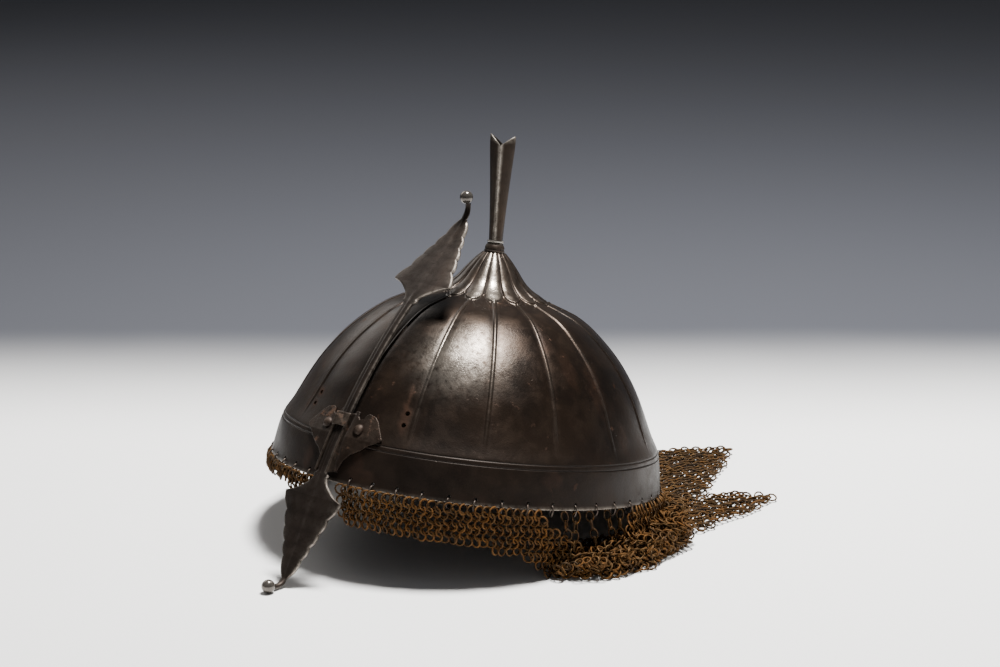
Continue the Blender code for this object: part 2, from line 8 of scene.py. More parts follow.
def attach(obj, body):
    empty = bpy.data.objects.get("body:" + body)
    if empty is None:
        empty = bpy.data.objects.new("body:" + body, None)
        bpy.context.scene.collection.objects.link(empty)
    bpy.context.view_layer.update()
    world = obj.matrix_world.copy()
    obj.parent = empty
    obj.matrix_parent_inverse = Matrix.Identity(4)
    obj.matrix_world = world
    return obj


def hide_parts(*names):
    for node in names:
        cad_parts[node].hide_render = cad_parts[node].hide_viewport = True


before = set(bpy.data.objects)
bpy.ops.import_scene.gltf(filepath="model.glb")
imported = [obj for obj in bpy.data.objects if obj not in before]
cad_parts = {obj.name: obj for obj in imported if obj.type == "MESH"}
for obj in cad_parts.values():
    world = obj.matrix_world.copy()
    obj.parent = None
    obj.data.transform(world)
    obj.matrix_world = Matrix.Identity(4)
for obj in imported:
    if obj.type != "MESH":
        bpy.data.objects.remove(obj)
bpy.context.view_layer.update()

mm = 0.001
fullTurn = 2 * math.pi
dice = np.random.default_rng(11)

# How the helmet lies: rim centre over the table in millimetres, and its lean to the back
pose = {"leanBack": 11.0, "rimCentre": (0.0, -14.957, 27.197)}
rimCentre = np.array(pose["rimCentre"])
leanMatrix = np.array(Matrix.Rotation(-math.radians(pose["leanBack"]), 3, "X"))


def toWorld(points):
    # helmet frame in millimetres to the table's frame in metres
    return (points @ leanMatrix.T + rimCentre) * mm


def toHelmet(points):
    return (points / mm - rimCentre) @ leanMatrix


def smoothTable(table, at):
    # a curve through a table's rows that never overshoots them
    x = np.array([row[0] for row in table], float)
    y = np.array([row[1] for row in table], float)
    step = np.diff(x)
    slope = np.diff(y) / step
    tangent = np.zeros(len(x))
    tangent[0], tangent[-1] = slope[0], slope[-1]
    for k in range(1, len(x) - 1):
        if slope[k - 1] * slope[k] > 0:
            first = 2 * step[k] + step[k - 1]
            second = step[k] + 2 * step[k - 1]
            tangent[k] = (first + second) / (first / slope[k - 1] + second / slope[k])
    at = np.clip(np.asarray(at, float), x[0], x[-1])
    row = np.clip(np.searchsorted(x, at, side="right") - 1, 0, len(step) - 1)
    t = (at - x[row]) / step[row]
    return ((1 + 2 * t) * (1 - t) ** 2 * y[row] + t * (1 - t) ** 2 * step[row] * tangent[row]
            + t * t * (3 - 2 * t) * y[row + 1] + t * t * (t - 1) * step[row] * tangent[row + 1])


def ramp(value, low, high):
    # soft step from 0 at low to 1 at high
    t = np.clip((value - low) / (high - low), 0, 1)
    return t * t * (3 - 2 * t)


def bump(value, middle, width):
    # 1 at the middle, soft fall to either side
    return np.exp(-((value - middle) / width) ** 2)


def wobble(x, y, seed=0.0):
    # slow irregular waves, about -1 to 1
    return (np.sin(x * 1.31 + y * 0.47 + seed) + np.sin(y * 1.73 - x * 0.61 + seed * 2.3)
            + np.sin((x + y) * 0.83 + seed * 3.7)) / 3


def unit(vector):
    return vector / np.linalg.norm(vector)


def squareTo(vector, axis):
    # the part of a vector that is square to a unit axis, made a unit vector
    return unit(vector - axis * vector.dot(axis))


def outwardAt(azimuth, *height):
    # level direction away from the middle at an azimuth in degrees
    return np.array([math.sin(math.radians(azimuth)), -math.cos(math.radians(azimuth)), *height])


def runOf(points):
    # distance along a line of points
    return np.concatenate([[0], np.cumsum(np.linalg.norm(np.diff(points, axis=0), axis=1))])


def placeAt(points, run, at):
    return np.array([np.interp(at, run, points[:, k]) for k in range(3)])


def deselect():
    if bpy.context.object is not None and bpy.context.object.mode != "OBJECT":
        bpy.ops.object.mode_set(mode="OBJECT")
    bpy.ops.object.select_all(action="DESELECT")


def pickOnly(piece):
    deselect()
    piece.select_set(True)
    bpy.context.view_layer.objects.active = piece


def applyModifiers(piece):
    pickOnly(piece)
    for modifier in list(piece.modifiers):
        bpy.ops.object.modifier_apply(modifier=modifier.name)


def readPoints(piece):
    points = np.empty(len(piece.data.vertices) * 3)
    piece.data.vertices.foreach_get("co", points)
    return points.reshape(-1, 3)


def addMark(mesh, name, values):
    mark = mesh.attributes.new(name, "FLOAT", "POINT")
    mark.data.foreach_set("value", np.ascontiguousarray(values, dtype=np.float32).ravel())


def finishPiece(piece, name, material, angle=40):
    pickOnly(piece)
    bpy.ops.object.mode_set(mode="EDIT")
    bpy.ops.mesh.select_all(action="SELECT")
    bpy.ops.mesh.normals_make_consistent(inside=False)
    bpy.ops.object.mode_set(mode="OBJECT")
    bpy.ops.object.shade_smooth_by_angle(angle=math.radians(angle))
    piece.name = name
    piece.data.name = name
    piece.data.materials.clear()
    piece.data.materials.append(material)
    return piece


def rolledSheet(name, rings, material, marks=None, angle=40):
    # a grid whose rows are bent into rings, sewn along its side and closed at both ends
    rings = np.array(rings)
    rows, columns = rings.shape[:2]
    deselect()
    bpy.ops.mesh.primitive_grid_add(x_subdivisions=columns, y_subdivisions=rows - 1, size=1.0)
    piece = bpy.context.object
    wrapped = toWorld(np.concatenate([rings, rings[:, :1]], axis=1).reshape(-1, 3))
    piece.data.vertices.foreach_set("co", wrapped.astype(np.float32).ravel())
    for key, values in (marks or {}).items():
        values = np.array(values)
        addMark(piece.data, key, np.concatenate([values, values[:, :1]], axis=1))
    bpy.ops.object.mode_set(mode="EDIT")
    bpy.ops.mesh.select_all(action="SELECT")
    bpy.ops.mesh.remove_doubles(threshold=1e-7)
    bpy.ops.mesh.select_all(action="SELECT")
    bpy.ops.mesh.fill_holes(sides=0)
    bpy.ops.object.mode_set(mode="OBJECT")
    return finishPiece(piece, name, material, angle)


def setOrLink(tree, socket, value):
    if isinstance(value, bpy.types.NodeSocket):
        tree.links.new(value, socket)
    elif value is not None:
        socket.default_value = value


def mixColour(tree, factor, first, second):
    mix = tree.nodes.new("ShaderNodeMix")
    mix.data_type = "RGBA"
    for index, value in ((0, factor), (6, first), (7, second)):
        setOrLink(tree, mix.inputs[index], value)
    return mix.outputs[2]


def sums(tree, operation, first, second=0.0, third=None, clamp=False):
    step = tree.nodes.new("ShaderNodeMath")
    step.operation = operation
    step.use_clamp = clamp
    for socket, value in zip(step.inputs, (first, second, third)):
        setOrLink(tree, socket, value)
    return step.outputs[0]


def spread(tree, value, low, high):
    step = tree.nodes.new("ShaderNodeMapRange")
    step.interpolation_type = "SMOOTHSTEP"
    for key, given in (("Value", value), ("From Min", low), ("From Max", high)):
        setOrLink(tree, step.inputs[key], given)
    return step.outputs["Result"]


def noise(tree, vector, scale, detail, roughness=0.55, distortion=0.0):
    texture = tree.nodes.new("ShaderNodeTexNoise")
    for key, value in (("Vector", vector), ("Scale", scale), ("Detail", detail),
                       ("Roughness", roughness), ("Distortion", distortion)):
        setOrLink(tree, texture.inputs[key], value)
    return texture.outputs["Fac"]


# each noise: scale, detail, roughness, distortion; each edge: where its soft step starts and ends
patina = {
    "clouds": (22.0, 6.0, 0.6, 0.6), "cloudEdge": (0.36, 0.66), "cloudShare": 0.65,
    "blotches": (95.0, 5.0, 0.62, 0.3), "blotchEdge": (0.38, 0.68),
    "fine": (900.0, 3.0, 0.6), "fineShare": 0.35, "grain": (2600.0, 2.0, 0.5),
    "pitScale": 240.0, "pitEdge": (0.16, 0.05), "pitPlaces": (60.0, 3.0), "pitPlaceEdge": (0.58, 0.72),
    "blooms": (150.0, 6.0, 0.66, 0.3), "bloomFrom": 0.80, "bloomReach": 0.42, "bloomEdge": (0.0, 0.10),
    "rubbing": (320.0, 4.0, 0.7), "rubbingEdge": (0.25, 0.6), "dirtShare": 0.85,
    "fineColour": (0.008, 0.0065, 0.0055, 1), "dirtColour": (0.0085, 0.0060, 0.0046, 1),
    "pitColour": (0.014, 0.010, 0.008, 1), "metal": 0.70,
}


def patinaGroup():
    # old steel: brown tone, rust blooms, pits, bright wear where hands and cloths have rubbed; the same bright layer
    # also carries painted highlights
    group = bpy.data.node_groups.new("oldSteel", "ShaderNodeTree")
    for side, kind, labels in (
            ("INPUT", "NodeSocketVector", ("Vector",)),
            ("INPUT", "NodeSocketColor", ("Dark", "Warm", "Rust", "Bright")),
            ("INPUT", "NodeSocketFloat", ("Stain", "Wear_and_highlight", "Grime", "Rust Amount", "Gloss")),
            ("OUTPUT", "NodeSocketColor", ("Color",)),
            ("OUTPUT", "NodeSocketFloat", ("Roughness", "Metallic", "Height"))):
        for label in labels:
            group.interface.new_socket(name=label, in_out=side, socket_type=kind)
    given = group.nodes.new("NodeGroupInput").outputs
    out = group.nodes.new("NodeGroupOutput").inputs

    def cloudy(key, edge=None):
        pattern = noise(group, given["Vector"], *patina[key])
        return spread(group, pattern, *patina[edge]) if edge else pattern

    def times(first, second):
        return sums(group, "MULTIPLY", first, second)

    def plus(base, *parts, clamp=False):
        # adds each part times its amount; with clamp the sum stays between 0 and 1
        for count, (part, amount) in enumerate(parts, 1):
            base = sums(group, "MULTIPLY_ADD", part, amount, base, clamp and count == len(parts))
        return base

    clouds, blotches = cloudy("clouds", "cloudEdge"), cloudy("blotches", "blotchEdge")
    fine, grain = cloudy("fine"), cloudy("grain")
    pits = group.nodes.new("ShaderNodeTexVoronoi")
    pits.inputs["Scale"].default_value = patina["pitScale"]
    group.links.new(given["Vector"], pits.inputs["Vector"])
    pitMask = spread(group, pits.outputs["Distance"], *patina["pitEdge"])
    pitMask = times(pitMask, cloudy("pitPlaces", "pitPlaceEdge"))
    bloomFrom = sums(group, "SUBTRACT", patina["bloomFrom"], times(given["Rust Amount"], patina["bloomReach"]))
    rust = spread(group, sums(group, "SUBTRACT", cloudy("blooms"), bloomFrom), *patina["bloomEdge"])
    stained = plus(rust, (given["Stain"], plus(0.6, (blotches, 0.5))), clamp=True)
    # the wear input holds real wear and painted highlights, and both are made bright here
    rubbedAndHighlight = times(given["Wear_and_highlight"], cloudy("rubbing", "rubbingEdge"))
    dirty = times(given["Grime"], patina["dirtShare"])

    toneShare = plus(times(blotches, 1 - patina["cloudShare"]), (clouds, patina["cloudShare"]))
    colour = mixColour(group, toneShare, given["Dark"], given["Warm"])
    for factor, layer in ((stained, given["Rust"]), (times(fine, patina["fineShare"]), patina["fineColour"]),
                          (rubbedAndHighlight, given["Bright"]), (dirty, patina["dirtColour"]), (pitMask, patina["pitColour"])):
        colour = mixColour(group, factor, colour, layer)
    rough = plus(given["Gloss"], (blotches, 0.10), (stained, 0.24), (grain, 0.08), (dirty, 0.25), (rubbedAndHighlight, -0.20),
                 clamp=True)
    metal = plus(patina["metal"], (stained, -0.45), (dirty, -0.5), clamp=True)
    height = plus(times(fine, 0.30), (blotches, 0.14), (grain, 0.18), (pitMask, -0.9), (stained, 0.25))
    for label, value in (("Color", colour), ("Roughness", rough), ("Metallic", metal), ("Height", height)):
        group.links.new(value, out[label])
    return group


oldSteel = patinaGroup()


def steelMaterial(name, dark, warm, rust, bright, gloss, rustAmount, relief, shine=0.5, ratio=1.0, marked=True):
    material = bpy.data.materials.new(name)
    material.use_nodes = True
    tree = material.node_tree
    shader = tree.nodes["Principled BSDF"]
    shader.inputs["Specular IOR Level"].default_value = shine
    place = tree.nodes.new("ShaderNodeTexCoord").outputs["Object"]
    if ratio != 1.0:
        mapping = tree.nodes.new("ShaderNodeMapping")
        mapping.inputs["Scale"].default_value = (ratio, ratio, ratio)
        tree.links.new(place, mapping.inputs["Vector"])
        place = mapping.outputs["Vector"]
    steel = tree.nodes.new("ShaderNodeGroup")
    steel.node_tree = oldSteel
    for key, value in (("Vector", place), ("Dark", (*dark, 1)), ("Warm", (*warm, 1)), ("Rust", (*rust, 1)),
                       ("Bright", (*bright, 1)), ("Gloss", gloss), ("Rust Amount", rustAmount)):
        setOrLink(tree, steel.inputs[key], value)
    # the wear mark carries real wear and painted highlights alike
    for mark in ("wear_and_highlight", "grime", "stain") if marked else ():
        read = tree.nodes.new("ShaderNodeAttribute")
        read.attribute_name = mark
        tree.links.new(read.outputs["Fac"], steel.inputs[mark.capitalize()])
    for source, target in (("Color", "Base Color"), ("Roughness", "Roughness"), ("Metallic", "Metallic")):
        tree.links.new(steel.outputs[source], shader.inputs[target])
    bumps = tree.nodes.new("ShaderNodeBump")
    bumps.inputs["Strength"].default_value = 1.0
    bumps.inputs["Distance"].default_value = relief * mm
    tree.links.new(steel.outputs["Height"], bumps.inputs["Height"])
    tree.links.new(bumps.outputs["Normal"], shader.inputs["Normal"])
    return material


# four colours each: dark, warm, rust, bright
bowlSteel = steelMaterial(
    "bowlSteel", (0.0115, 0.0082, 0.0066), (0.0290, 0.0180, 0.0118), (0.038, 0.0150, 0.0066), (0.40, 0.355, 0.305),
    gloss=0.25, rustAmount=0.40, relief=0.20, shine=0.12)
nasalSteel = steelMaterial(
    "nasalSteel", (0.0120, 0.0085, 0.0068), (0.0225, 0.0152, 0.0116), (0.032, 0.016, 0.009), (0.42, 0.37, 0.32),
    gloss=0.36, rustAmount=0.24, relief=0.22, shine=0.24)
bracketSteel = steelMaterial(
    "bracketSteel", (0.0095, 0.0068, 0.0054), (0.0195, 0.0125, 0.0088), (0.042, 0.0180, 0.0080), (0.22, 0.18, 0.145),
    gloss=0.36, rustAmount=0.52, relief=0.32, shine=0.20)
tubeSteel = steelMaterial(
    "tubeSteel", (0.0170, 0.0118, 0.0085), (0.046, 0.031, 0.0215), (0.050, 0.026, 0.013), (0.50, 0.45, 0.39),
    gloss=0.30, rustAmount=0.34, relief=0.30, shine=0.35)
brightSteel = steelMaterial(
    "brightSteel", (0.070, 0.062, 0.055), (0.15, 0.135, 0.12), (0.04, 0.027, 0.019), (0.6, 0.57, 0.53),
    gloss=0.10, rustAmount=0.20, relief=0.05, marked=False)
washerSteel = steelMaterial(
    "washerSteel", (0.24, 0.22, 0.20), (0.42, 0.39, 0.35), (0.08, 0.055, 0.040), (0.6, 0.57, 0.53),
    gloss=0.22, rustAmount=0.15, relief=0.10, marked=False)
loopIron = steelMaterial(
    "loopIron", (0.028, 0.020, 0.015), (0.060, 0.044, 0.032), (0.070, 0.036, 0.018), (0.15, 0.12, 0.095),
    gloss=0.38, rustAmount=0.35, relief=0.10, ratio=1.6)
rustyIron = steelMaterial(
    "rustyIron", (0.022, 0.0115, 0.0042), (0.066, 0.031, 0.0070), (0.120, 0.046, 0.0050), (0.11, 0.068, 0.026),
    gloss=0.52, rustAmount=0.6, relief=0.12, shine=0.22, ratio=1.6)
print("materials made")


# lengths in millimetres, angles in degrees; of the last two rows, one places a painted highlight on the petals, the
# other the rubbed place on the front gores, also made brighter as a painted highlight: azimuth, half width in
# radians, height, half height
bowl = {
    "height": 117.0, "meanRadius": 105.0, "stretch": 0.0344, "roundFrom": 90.0, "wall": 1.6,
    "gores": 16, "ribWidth": 2.3, "ribHeight": 0.56, "ribStart": 23.5, "frontRibStart": 36.0, "ribGrow": 16.0,
    "besideDepth": 0.14, "pillow": 0.42, "pillowFrom": (26, 50), "pillowTo": (84, 94),
    "lines": (19.35, 21.85), "lineDepth": 0.33, "lineWidth": 0.85,
    "petalTip": 94.0, "petalValley": 96.9, "petalSwell": 0.75, "petalEdge": 0.35, "petalGap": 0.38,
    "groove": 0.26, "arch": 0.30, "belowDepth": 0.12, "dent": 0.14, "smallDent": 0.07,
    "holes": 48, "holeGap": 8.0, "holeHeight": 3.0, "holeWidth": 1.7,
    "spikeAngle": 19.5, "spikeHeights": (33.0, 38.6), "spikeWidth": 2.6, "drillDepth": 7.0,
    "facing": (38, 0.26), "handledHighlight": (31.5, 0.24, 67, 12), "rimWear": 0.55,
}
bowlProfile = (
    (0.000, 1.000), (0.176, 0.962), (0.239, 0.924), (0.308, 0.884), (0.427, 0.815), (0.556, 0.715),
    (0.667, 0.591), (0.752, 0.455), (0.790, 0.338), (0.812, 0.270), (0.841, 0.212), (0.874, 0.171),
    (0.927, 0.127), (0.973, 0.086), (1.000, 0.056),
)
gore = fullTurn / bowl["gores"]


def bowlRadius(height):
    return bowl["meanRadius"] * smoothTable(bowlProfile, height / bowl["height"])


def bowlHalves(height):
    stretch = 1 + bowl["stretch"] * np.clip(1 - height / bowl["roundFrom"], 0, 1)
    radius = bowlRadius(height)
    return radius / stretch, radius * stretch


def bowlNormal(azimuth, height):
    slope = (bowlRadius(height + 0.3) - bowlRadius(height - 0.3)) / 0.6
    size = np.sqrt(1 + slope ** 2)
    return np.stack([np.sin(azimuth) / size, -np.cos(azimuth) / size, -slope / size], axis=-1)


def bowlPoint(azimuth, height, lift):
    halfWidth, halfLength = bowlHalves(height)
    level = height * np.ones_like(azimuth)
    place = np.stack([halfWidth * np.sin(azimuth), -halfLength * np.cos(azimuth), level], axis=-1)
    return place + bowlNormal(azimuth, height) * lift[..., None]


def bowlSpot(azimuth, height, lift=0.0):
    # one place on the bowl and the direction straight out of it
    azimuth, height = np.array([azimuth]), np.array([height])
    return bowlPoint(azimuth, height, np.array([lift]))[0], bowlNormal(azimuth, height)[0]


# distance along the outside from the crown down
fineHeights = np.linspace(bowl["height"], 0.0, 2400)
fineRadii = bowlRadius(fineHeights)
fineRun = np.concatenate([[0], np.cumsum(np.hypot(np.diff(fineHeights), np.diff(fineRadii)))])


def runAt(height):
    return np.interp(-height, -fineHeights, fineRun)


def bowlRelief(azimuth, height):
    # lift of the outside and its marks: rubbed metal, painted highlights on the front petals and gores, dirt in the
    # grooves
    radius = bowlRadius(height)
    turn = np.mod(azimuth + gore / 2, gore) - gore / 2
    ribIndex = np.round((azimuth - turn) / gore) % bowl["gores"]
    off = np.abs(turn) * radius
    half = gore / 2 * radius
    share = np.clip(off / half, 0, 1)
    run = runAt(height)

    # ribs with a shallow chased line at either side; the front one starts above the bracket
    start = np.where(ribIndex == 0, bowl["frontRibStart"], bowl["ribStart"])
    grown = ramp(height, start, start + bowl["ribGrow"])
    width = bowl["ribWidth"] / 2
    ridge = np.clip(1 - (off / width) ** 2, 0, 1)
    beside = grown * bump(off, width + 0.25, 0.55)
    pillow = bowl["pillow"] * ramp(height, *bowl["pillowFrom"]) * (1 - ramp(height, *bowl["pillowTo"]))
    pillow = pillow * (1 - (1 - share) ** 2)

    # petals: U shaped ends with a small point, gaps between them that narrow to the crown;
    # "outside" is the distance from a petal's edge, negative inside it
    tipRun, valleyRun = runAt(bowl["petalTip"]), runAt(bowl["petalValley"])
    narrow = np.clip(radius / 26.0, 0.34, 1.0)
    full = np.maximum(half - bowl["petalGap"] * narrow, 0.2)
    across = np.clip(off / full, 0, 1.4)
    end = tipRun - (tipRun - valleyRun) * np.clip(across, 0, 1) ** 2.8 + 0.8 * bump(across, 0, 0.18) - 0.4
    outside = np.maximum(off - full, run - end)
    inside = ramp(-outside, -0.05, 0.55 * narrow + 0.1)
    belly = (1 - np.clip(across, 0, 1) ** 2.5) * (0.35 + 0.65 * ramp(end - run, 0.0, 6.0)) * narrow
    petals = inside * (bowl["petalEdge"] * narrow + bowl["petalSwell"] * belly)
    nearPetal = 1 - ramp(run, tipRun + 4.0, tipRun + 6.0)
    cut = bowl["groove"] * narrow * bump(outside, 0.22 * narrow, 0.26 * narrow) * nearPetal
    under = ramp(run, valleyRun - 1.5, valleyRun + 1.0)
    arch = bump(outside, 1.25, 0.6) * nearPetal * under * (1 - inside)
    below = bowl["belowDepth"] * bump(outside, 2.4 * narrow, 0.6) * nearPetal

    lines = sum(np.clip(1 - np.abs(height - level) / (bowl["lineWidth"] / 2), 0, 1) for level in bowl["lines"])
    dents = bowl["dent"] * wobble(azimuth * 9.0, height * 0.11, 1.7)
    dents = dents + bowl["smallDent"] * wobble(azimuth * 23.0, height * 0.27, 4.1)
    dents = dents * ramp(height, 0, 10) * (1 - ramp(height, 80, 92))
    beside = beside * ramp(outside, 1.0, 3.0)
    lift = grown * bowl["ribHeight"] * ridge * ramp(outside, 0.2, 1.0) - bowl["besideDepth"] * beside
    lift = lift + pillow * ramp(outside, 2.0, 6.0) + petals - cut + bowl["arch"] * arch - below
    lift = lift - bowl["lineDepth"] * lines + dents

    wear_and_highlight = 0.04 * grown * ridge * ramp(outside, 0.5, 1.5) + 0.10 * arch
    # painted highlight: the petals round this azimuth are made bright, standing in for the light they reflect
    facing = bump(azimuth, math.radians(bowl["facing"][0]), bowl["facing"][1])
    wear_and_highlight = wear_and_highlight + inside * (0.05 + 0.80 * facing * np.clip(belly + 0.2, 0, 1))
    # the rubbed place on the front gores: real polish, and made brighter here as a painted highlight
    place, wide, level, high = bowl["handledHighlight"]
    handledHighlight = np.exp(-(((azimuth - math.radians(place)) / wide) ** 2 + ((height - level) / high) ** 2))
    wear_and_highlight = wear_and_highlight + 0.36 * handledHighlight * (1 - inside) + bowl["rimWear"] * (1 - ramp(height, 0.0, 0.9))
    grime = np.clip(cut / bowl["groove"], 0, 1) * 0.8 + 0.18 * beside + 0.7 * lines
    # darker towards the rim: full from 2 to 6 mm up, fading out by 66 mm, and not at the very edge
    grime = grime + 0.62 * (1 - ramp(height, 6, 66)) * ramp(height, 0.4, 2.0)
    return lift, np.clip(wear_and_highlight, 0, 1), np.clip(grime, 0, 1)


# rust marks: azimuth and height of the middle, half sizes, strength
rustMarks = (
    (18.3, 41.0, 1.3, 13.0, 0.7), (19.8, 34.0, 2.0, 6.5, 0.6), (-23.5, 33.5, 1.8, 6.0, 0.6),
    (-21.0, 40.0, 1.2, 3.0, 0.5), (66.0, 15.0, 5.5, 5.0, 0.55), (77.0, 66.0, 5.0, 10.0, 0.35),
    (88.0, 58.0, 6.0, 13.0, 0.28), (70.0, 78.0, 4.0, 5.0, 0.30), (9.0, 9.0, 4.0, 8.0, 0.8),
    (12.5, 5.0, 6.0, 4.0, 0.6), (-10.0, 7.0, 4.0, 7.0, 0.6), (97.0, 33.0, 5.0, 10.0, 0.25),
    (150.0, 44.0, 9.0, 16.0, 0.35), (215.0, 58.0, 7.0, 9.0, 0.4), (262.0, 30.0, 8.0, 8.0, 0.45),
    (310.0, 62.0, 5.0, 12.0, 0.3),
)


def bowlStains(azimuth, height):
    stain = np.zeros_like(azimuth)
    radius = bowlRadius(height)
    for place, level, wide, high, strength in rustMarks:
        turn = np.mod(azimuth - math.radians(place) + math.pi, fullTurn) - math.pi
        ragged = 0.35 * wobble(azimuth * 60.0, height * 0.9, place)
        far = (turn * radius / wide) ** 2 + ((height - level) / high) ** 2
        stain = np.maximum(stain, strength * ramp(1.25 + ragged - np.sqrt(far), 0.0, 0.8))
    low = 0.35 * (1 - ramp(height, 0, 7)) * ramp(wobble(azimuth * 17.0, height * 0.5, 2.2), 0.0, 0.6)
    return np.clip(np.maximum(stain, low), 0, 1)


def goreAngles(radius):
    # columns of one gore, closer together on the rib
    halfRib = min(1.65 / max(radius, 1.0), gore * 0.15)
    rib = np.linspace(-halfRib, halfRib, 10)[:-1]
    rest = np.linspace(halfRib, gore - halfRib, 22)[:-1]
    return np.concatenate([rib, rest])


def bowlRings(heights):
    azimuth = []
    for height in heights:
        angles = goreAngles(float(bowlRadius(height)))
        azimuth.append(np.concatenate([angles + k * gore for k in range(bowl["gores"])]))
    azimuth = np.array(azimuth)
    return azimuth, np.repeat(np.asarray(heights, float)[:, None], azimuth.shape[1], axis=1)


def rimHoleAzimuths():
    low = math.radians(bowl["holeGap"])
    return np.linspace(low, fullTurn - low, bowl["holes"])


def spikeHoles():
    return [(side * math.radians(bowl["spikeAngle"]), level, bowl["spikeWidth"])
            for side in (1, -1) for level in bowl["spikeHeights"]]


def makeDrills():
    # all mail holes and the holes of the lost plume holders as one cutter
    places = [(a, bowl["holeHeight"], bowl["holeWidth"]) for a in rimHoleAzimuths()] + spikeHoles()
    deselect()
    made = []
    for azimuth, level, width in places:
        middle, out = bowlSpot(azimuth, level, -bowl["wall"] / 2)
        turn = Vector((0, 0, 1)).rotation_difference(Vector(leanMatrix @ out)).to_euler()
        bpy.ops.mesh.primitive_cylinder_add(vertices=10, radius=width / 2 * mm, depth=bowl["drillDepth"] * mm,
                                            location=toWorld(middle[None])[0], rotation=turn)
        made.append(bpy.context.object)
    deselect()
    for one in made:
        one.select_set(True)
    bpy.context.view_layer.objects.active = made[0]
    bpy.ops.object.join()
    return bpy.context.object


def drill(piece, cutter):
    cut = piece.modifiers.new("drill", "BOOLEAN")
    cut.operation = "DIFFERENCE"
    cut.solver = "EXACT"
    cut.object = cutter
    applyModifiers(piece)
    bpy.data.objects.remove(cutter, do_unlink=True)
    bpy.ops.object.shade_smooth_by_angle(angle=math.radians(40))


def makeBowl():
    # rows are closest together at the petals' ends and the incised lines
    tipRun = float(runAt(bowl["petalTip"]))
    runs = [np.arange(0, tipRun - 12, 0.8), np.arange(tipRun - 12, tipRun + 2.5, 0.36)]
    runs = np.concatenate(runs + [np.arange(tipRun + 2.5, tipRun + 8, 0.8)])
    heights = list(np.interp(runs, fineRun, fineHeights))
    heights += list(np.arange(heights[-1] - 1.2, 24.0, -2.2))
    heights += list(np.arange(23.6, 17.6, -0.21)) + list(np.arange(17.4, 1.0, -1.9)) + [0.55, 0.2, 0.0]
    azimuth, level = bowlRings(heights)
    lift = bowlRelief(azimuth, level)[0]
    lift[-1] -= 0.28
    lift[-2] -= 0.08
    outside = bowlPoint(azimuth, level, lift)
    azimuth, level = bowlRings([0.0] + list(np.linspace(1.0, 84.0, 26)) + list(np.linspace(86.5, 107.0, 12)))
    hammered = 0.12 * wobble(azimuth * 14, level * 0.2, 0.6) + 0.08 * wobble(azimuth * 31, level * 0.5, 3.1)
    inside = bowlPoint(azimuth, level, -bowl["wall"] + hammered)
    inside[0, :, 2] = 0.0
    piece = rolledSheet("helmetBowl", np.concatenate([outside, inside]), bowlSteel)
    drill(piece, makeDrills())

    # marks are read back from each point's place, so that the drilled edges have them too
    points = toHelmet(readPoints(piece))
    level = np.clip(points[:, 2], 0, bowl["height"])
    halfWidth, halfLength = bowlHalves(level)
    azimuth = np.arctan2(points[:, 0] / halfWidth, -points[:, 1] / halfLength)
    wear_and_highlight, grime = bowlRelief(azimuth, level)[1:]
    outer = np.hypot(points[:, 0] / halfWidth, points[:, 1] / halfLength) > 1 - 0.9 / np.maximum(halfWidth, 1)
    stain = bowlStains(azimuth, level)
    innerStain = 0.25 + 0.5 * ramp(wobble(azimuth * 5, level * 0.08, 5.0), -0.1, 0.7)
    near = np.min([np.linalg.norm(points - bowlSpot(*hole[:2])[0], axis=1) for hole in spikeHoles()], axis=0)
    stain = np.maximum(stain, 0.75 * (1 - ramp(near, 1.5, 3.2)))
    addMark(piece.data, "wear_and_highlight", np.where(outer, wear_and_highlight, 0.05))
    addMark(piece.data, "grime", np.where(outer, grime, 0.25))
    addMark(piece.data, "stain", np.where(outer, stain, innerStain))
    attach(piece, "helmet")
    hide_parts("bowl")
    print("bowl made", len(piece.data.polygons))


makeBowl()


crown = {
    "gap": 0.3, "collarWidth": 10.9, "collarTop": 8.6, "collarHeight": 4.9, "washerWidth": 8.8, "washerHeight": 0.9,
    "tubeLength": 55.5, "tubeBase": 7.4, "tubeMouth": 13.8, "tubeDepth": 9.4, "tubeWall": 0.8, "tubeNotch": 5.6,
    "tubeTurn": 27.0, "tubeLean": 4.6, "tubeCrease": 0.35, "tubeSides": 64, "turnedSides": 48,
}


def turned(name, outline, material, marks):
    # a turned piece from its outline: radius and height in millimetres
    count = crown["turnedSides"]
    turn = np.linspace(0, fullTurn, count, endpoint=False)
    rings = [[(r * math.cos(a), r * math.sin(a), z) for a in turn] for r, z in outline]
    marks = {key: np.repeat(np.array(value, float)[:, None], count, axis=1) for key, value in marks.items()}
    return rolledSheet(name, rings, material, marks)


def makeCollar():
    base, half, top = bowl["height"] + crown["gap"], crown["collarWidth"] / 2, crown["collarTop"] / 2
    high = crown["collarHeight"]
    outline = [(half - 0.5, base), (half - 0.1, base + 0.1), (half, base + 0.45), (half - 0.06, base + 1.0)]
    outline += [(half - 0.35, base + 1.15), (half - 0.3, base + 1.5), (half - 0.25, base + high * 0.5)]
    outline += [(half - 0.7, base + high * 0.72), (top + 0.12, base + high - 0.9), (top - 0.12, base + high - 0.75)]
    outline += [(top, base + high - 0.4), (top - 0.1, base + high - 0.1), (top - 0.4, base + high)]
    wear_and_highlight = [0.1, 0.3, 0.4, 0.2, 0.0, 0.1, 0.15, 0.1, 0.1, 0.0, 0.4, 0.4, 0.1]
    grime = [0.6, 0.4, 0.1, 0.5, 0.9, 0.5, 0.2, 0.2, 0.5, 0.9, 0.2, 0.2, 0.5]
    piece = turned("crownCollar", outline, bracketSteel, {"wear_and_highlight": wear_and_highlight, "grime": grime, "stain": [0.1] * 13})
    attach(piece, "helmet")
    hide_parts("collar")


def makeWasher():
    base = bowl["height"] + 2 * crown["gap"] + crown["collarHeight"]
    half, high = crown["washerWidth"] / 2, crown["washerHeight"]
    outline = [(half - 0.35, base), (half - 0.1, base + 0.06), (half, base + 0.25), (half, base + high - 0.25)]
    outline += [(half - 0.1, base + high - 0.06), (half - 0.35, base + high)]
    piece = turned("brightWasher", outline, washerSteel, {})
    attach(piece, "helmet")
    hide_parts("washer")


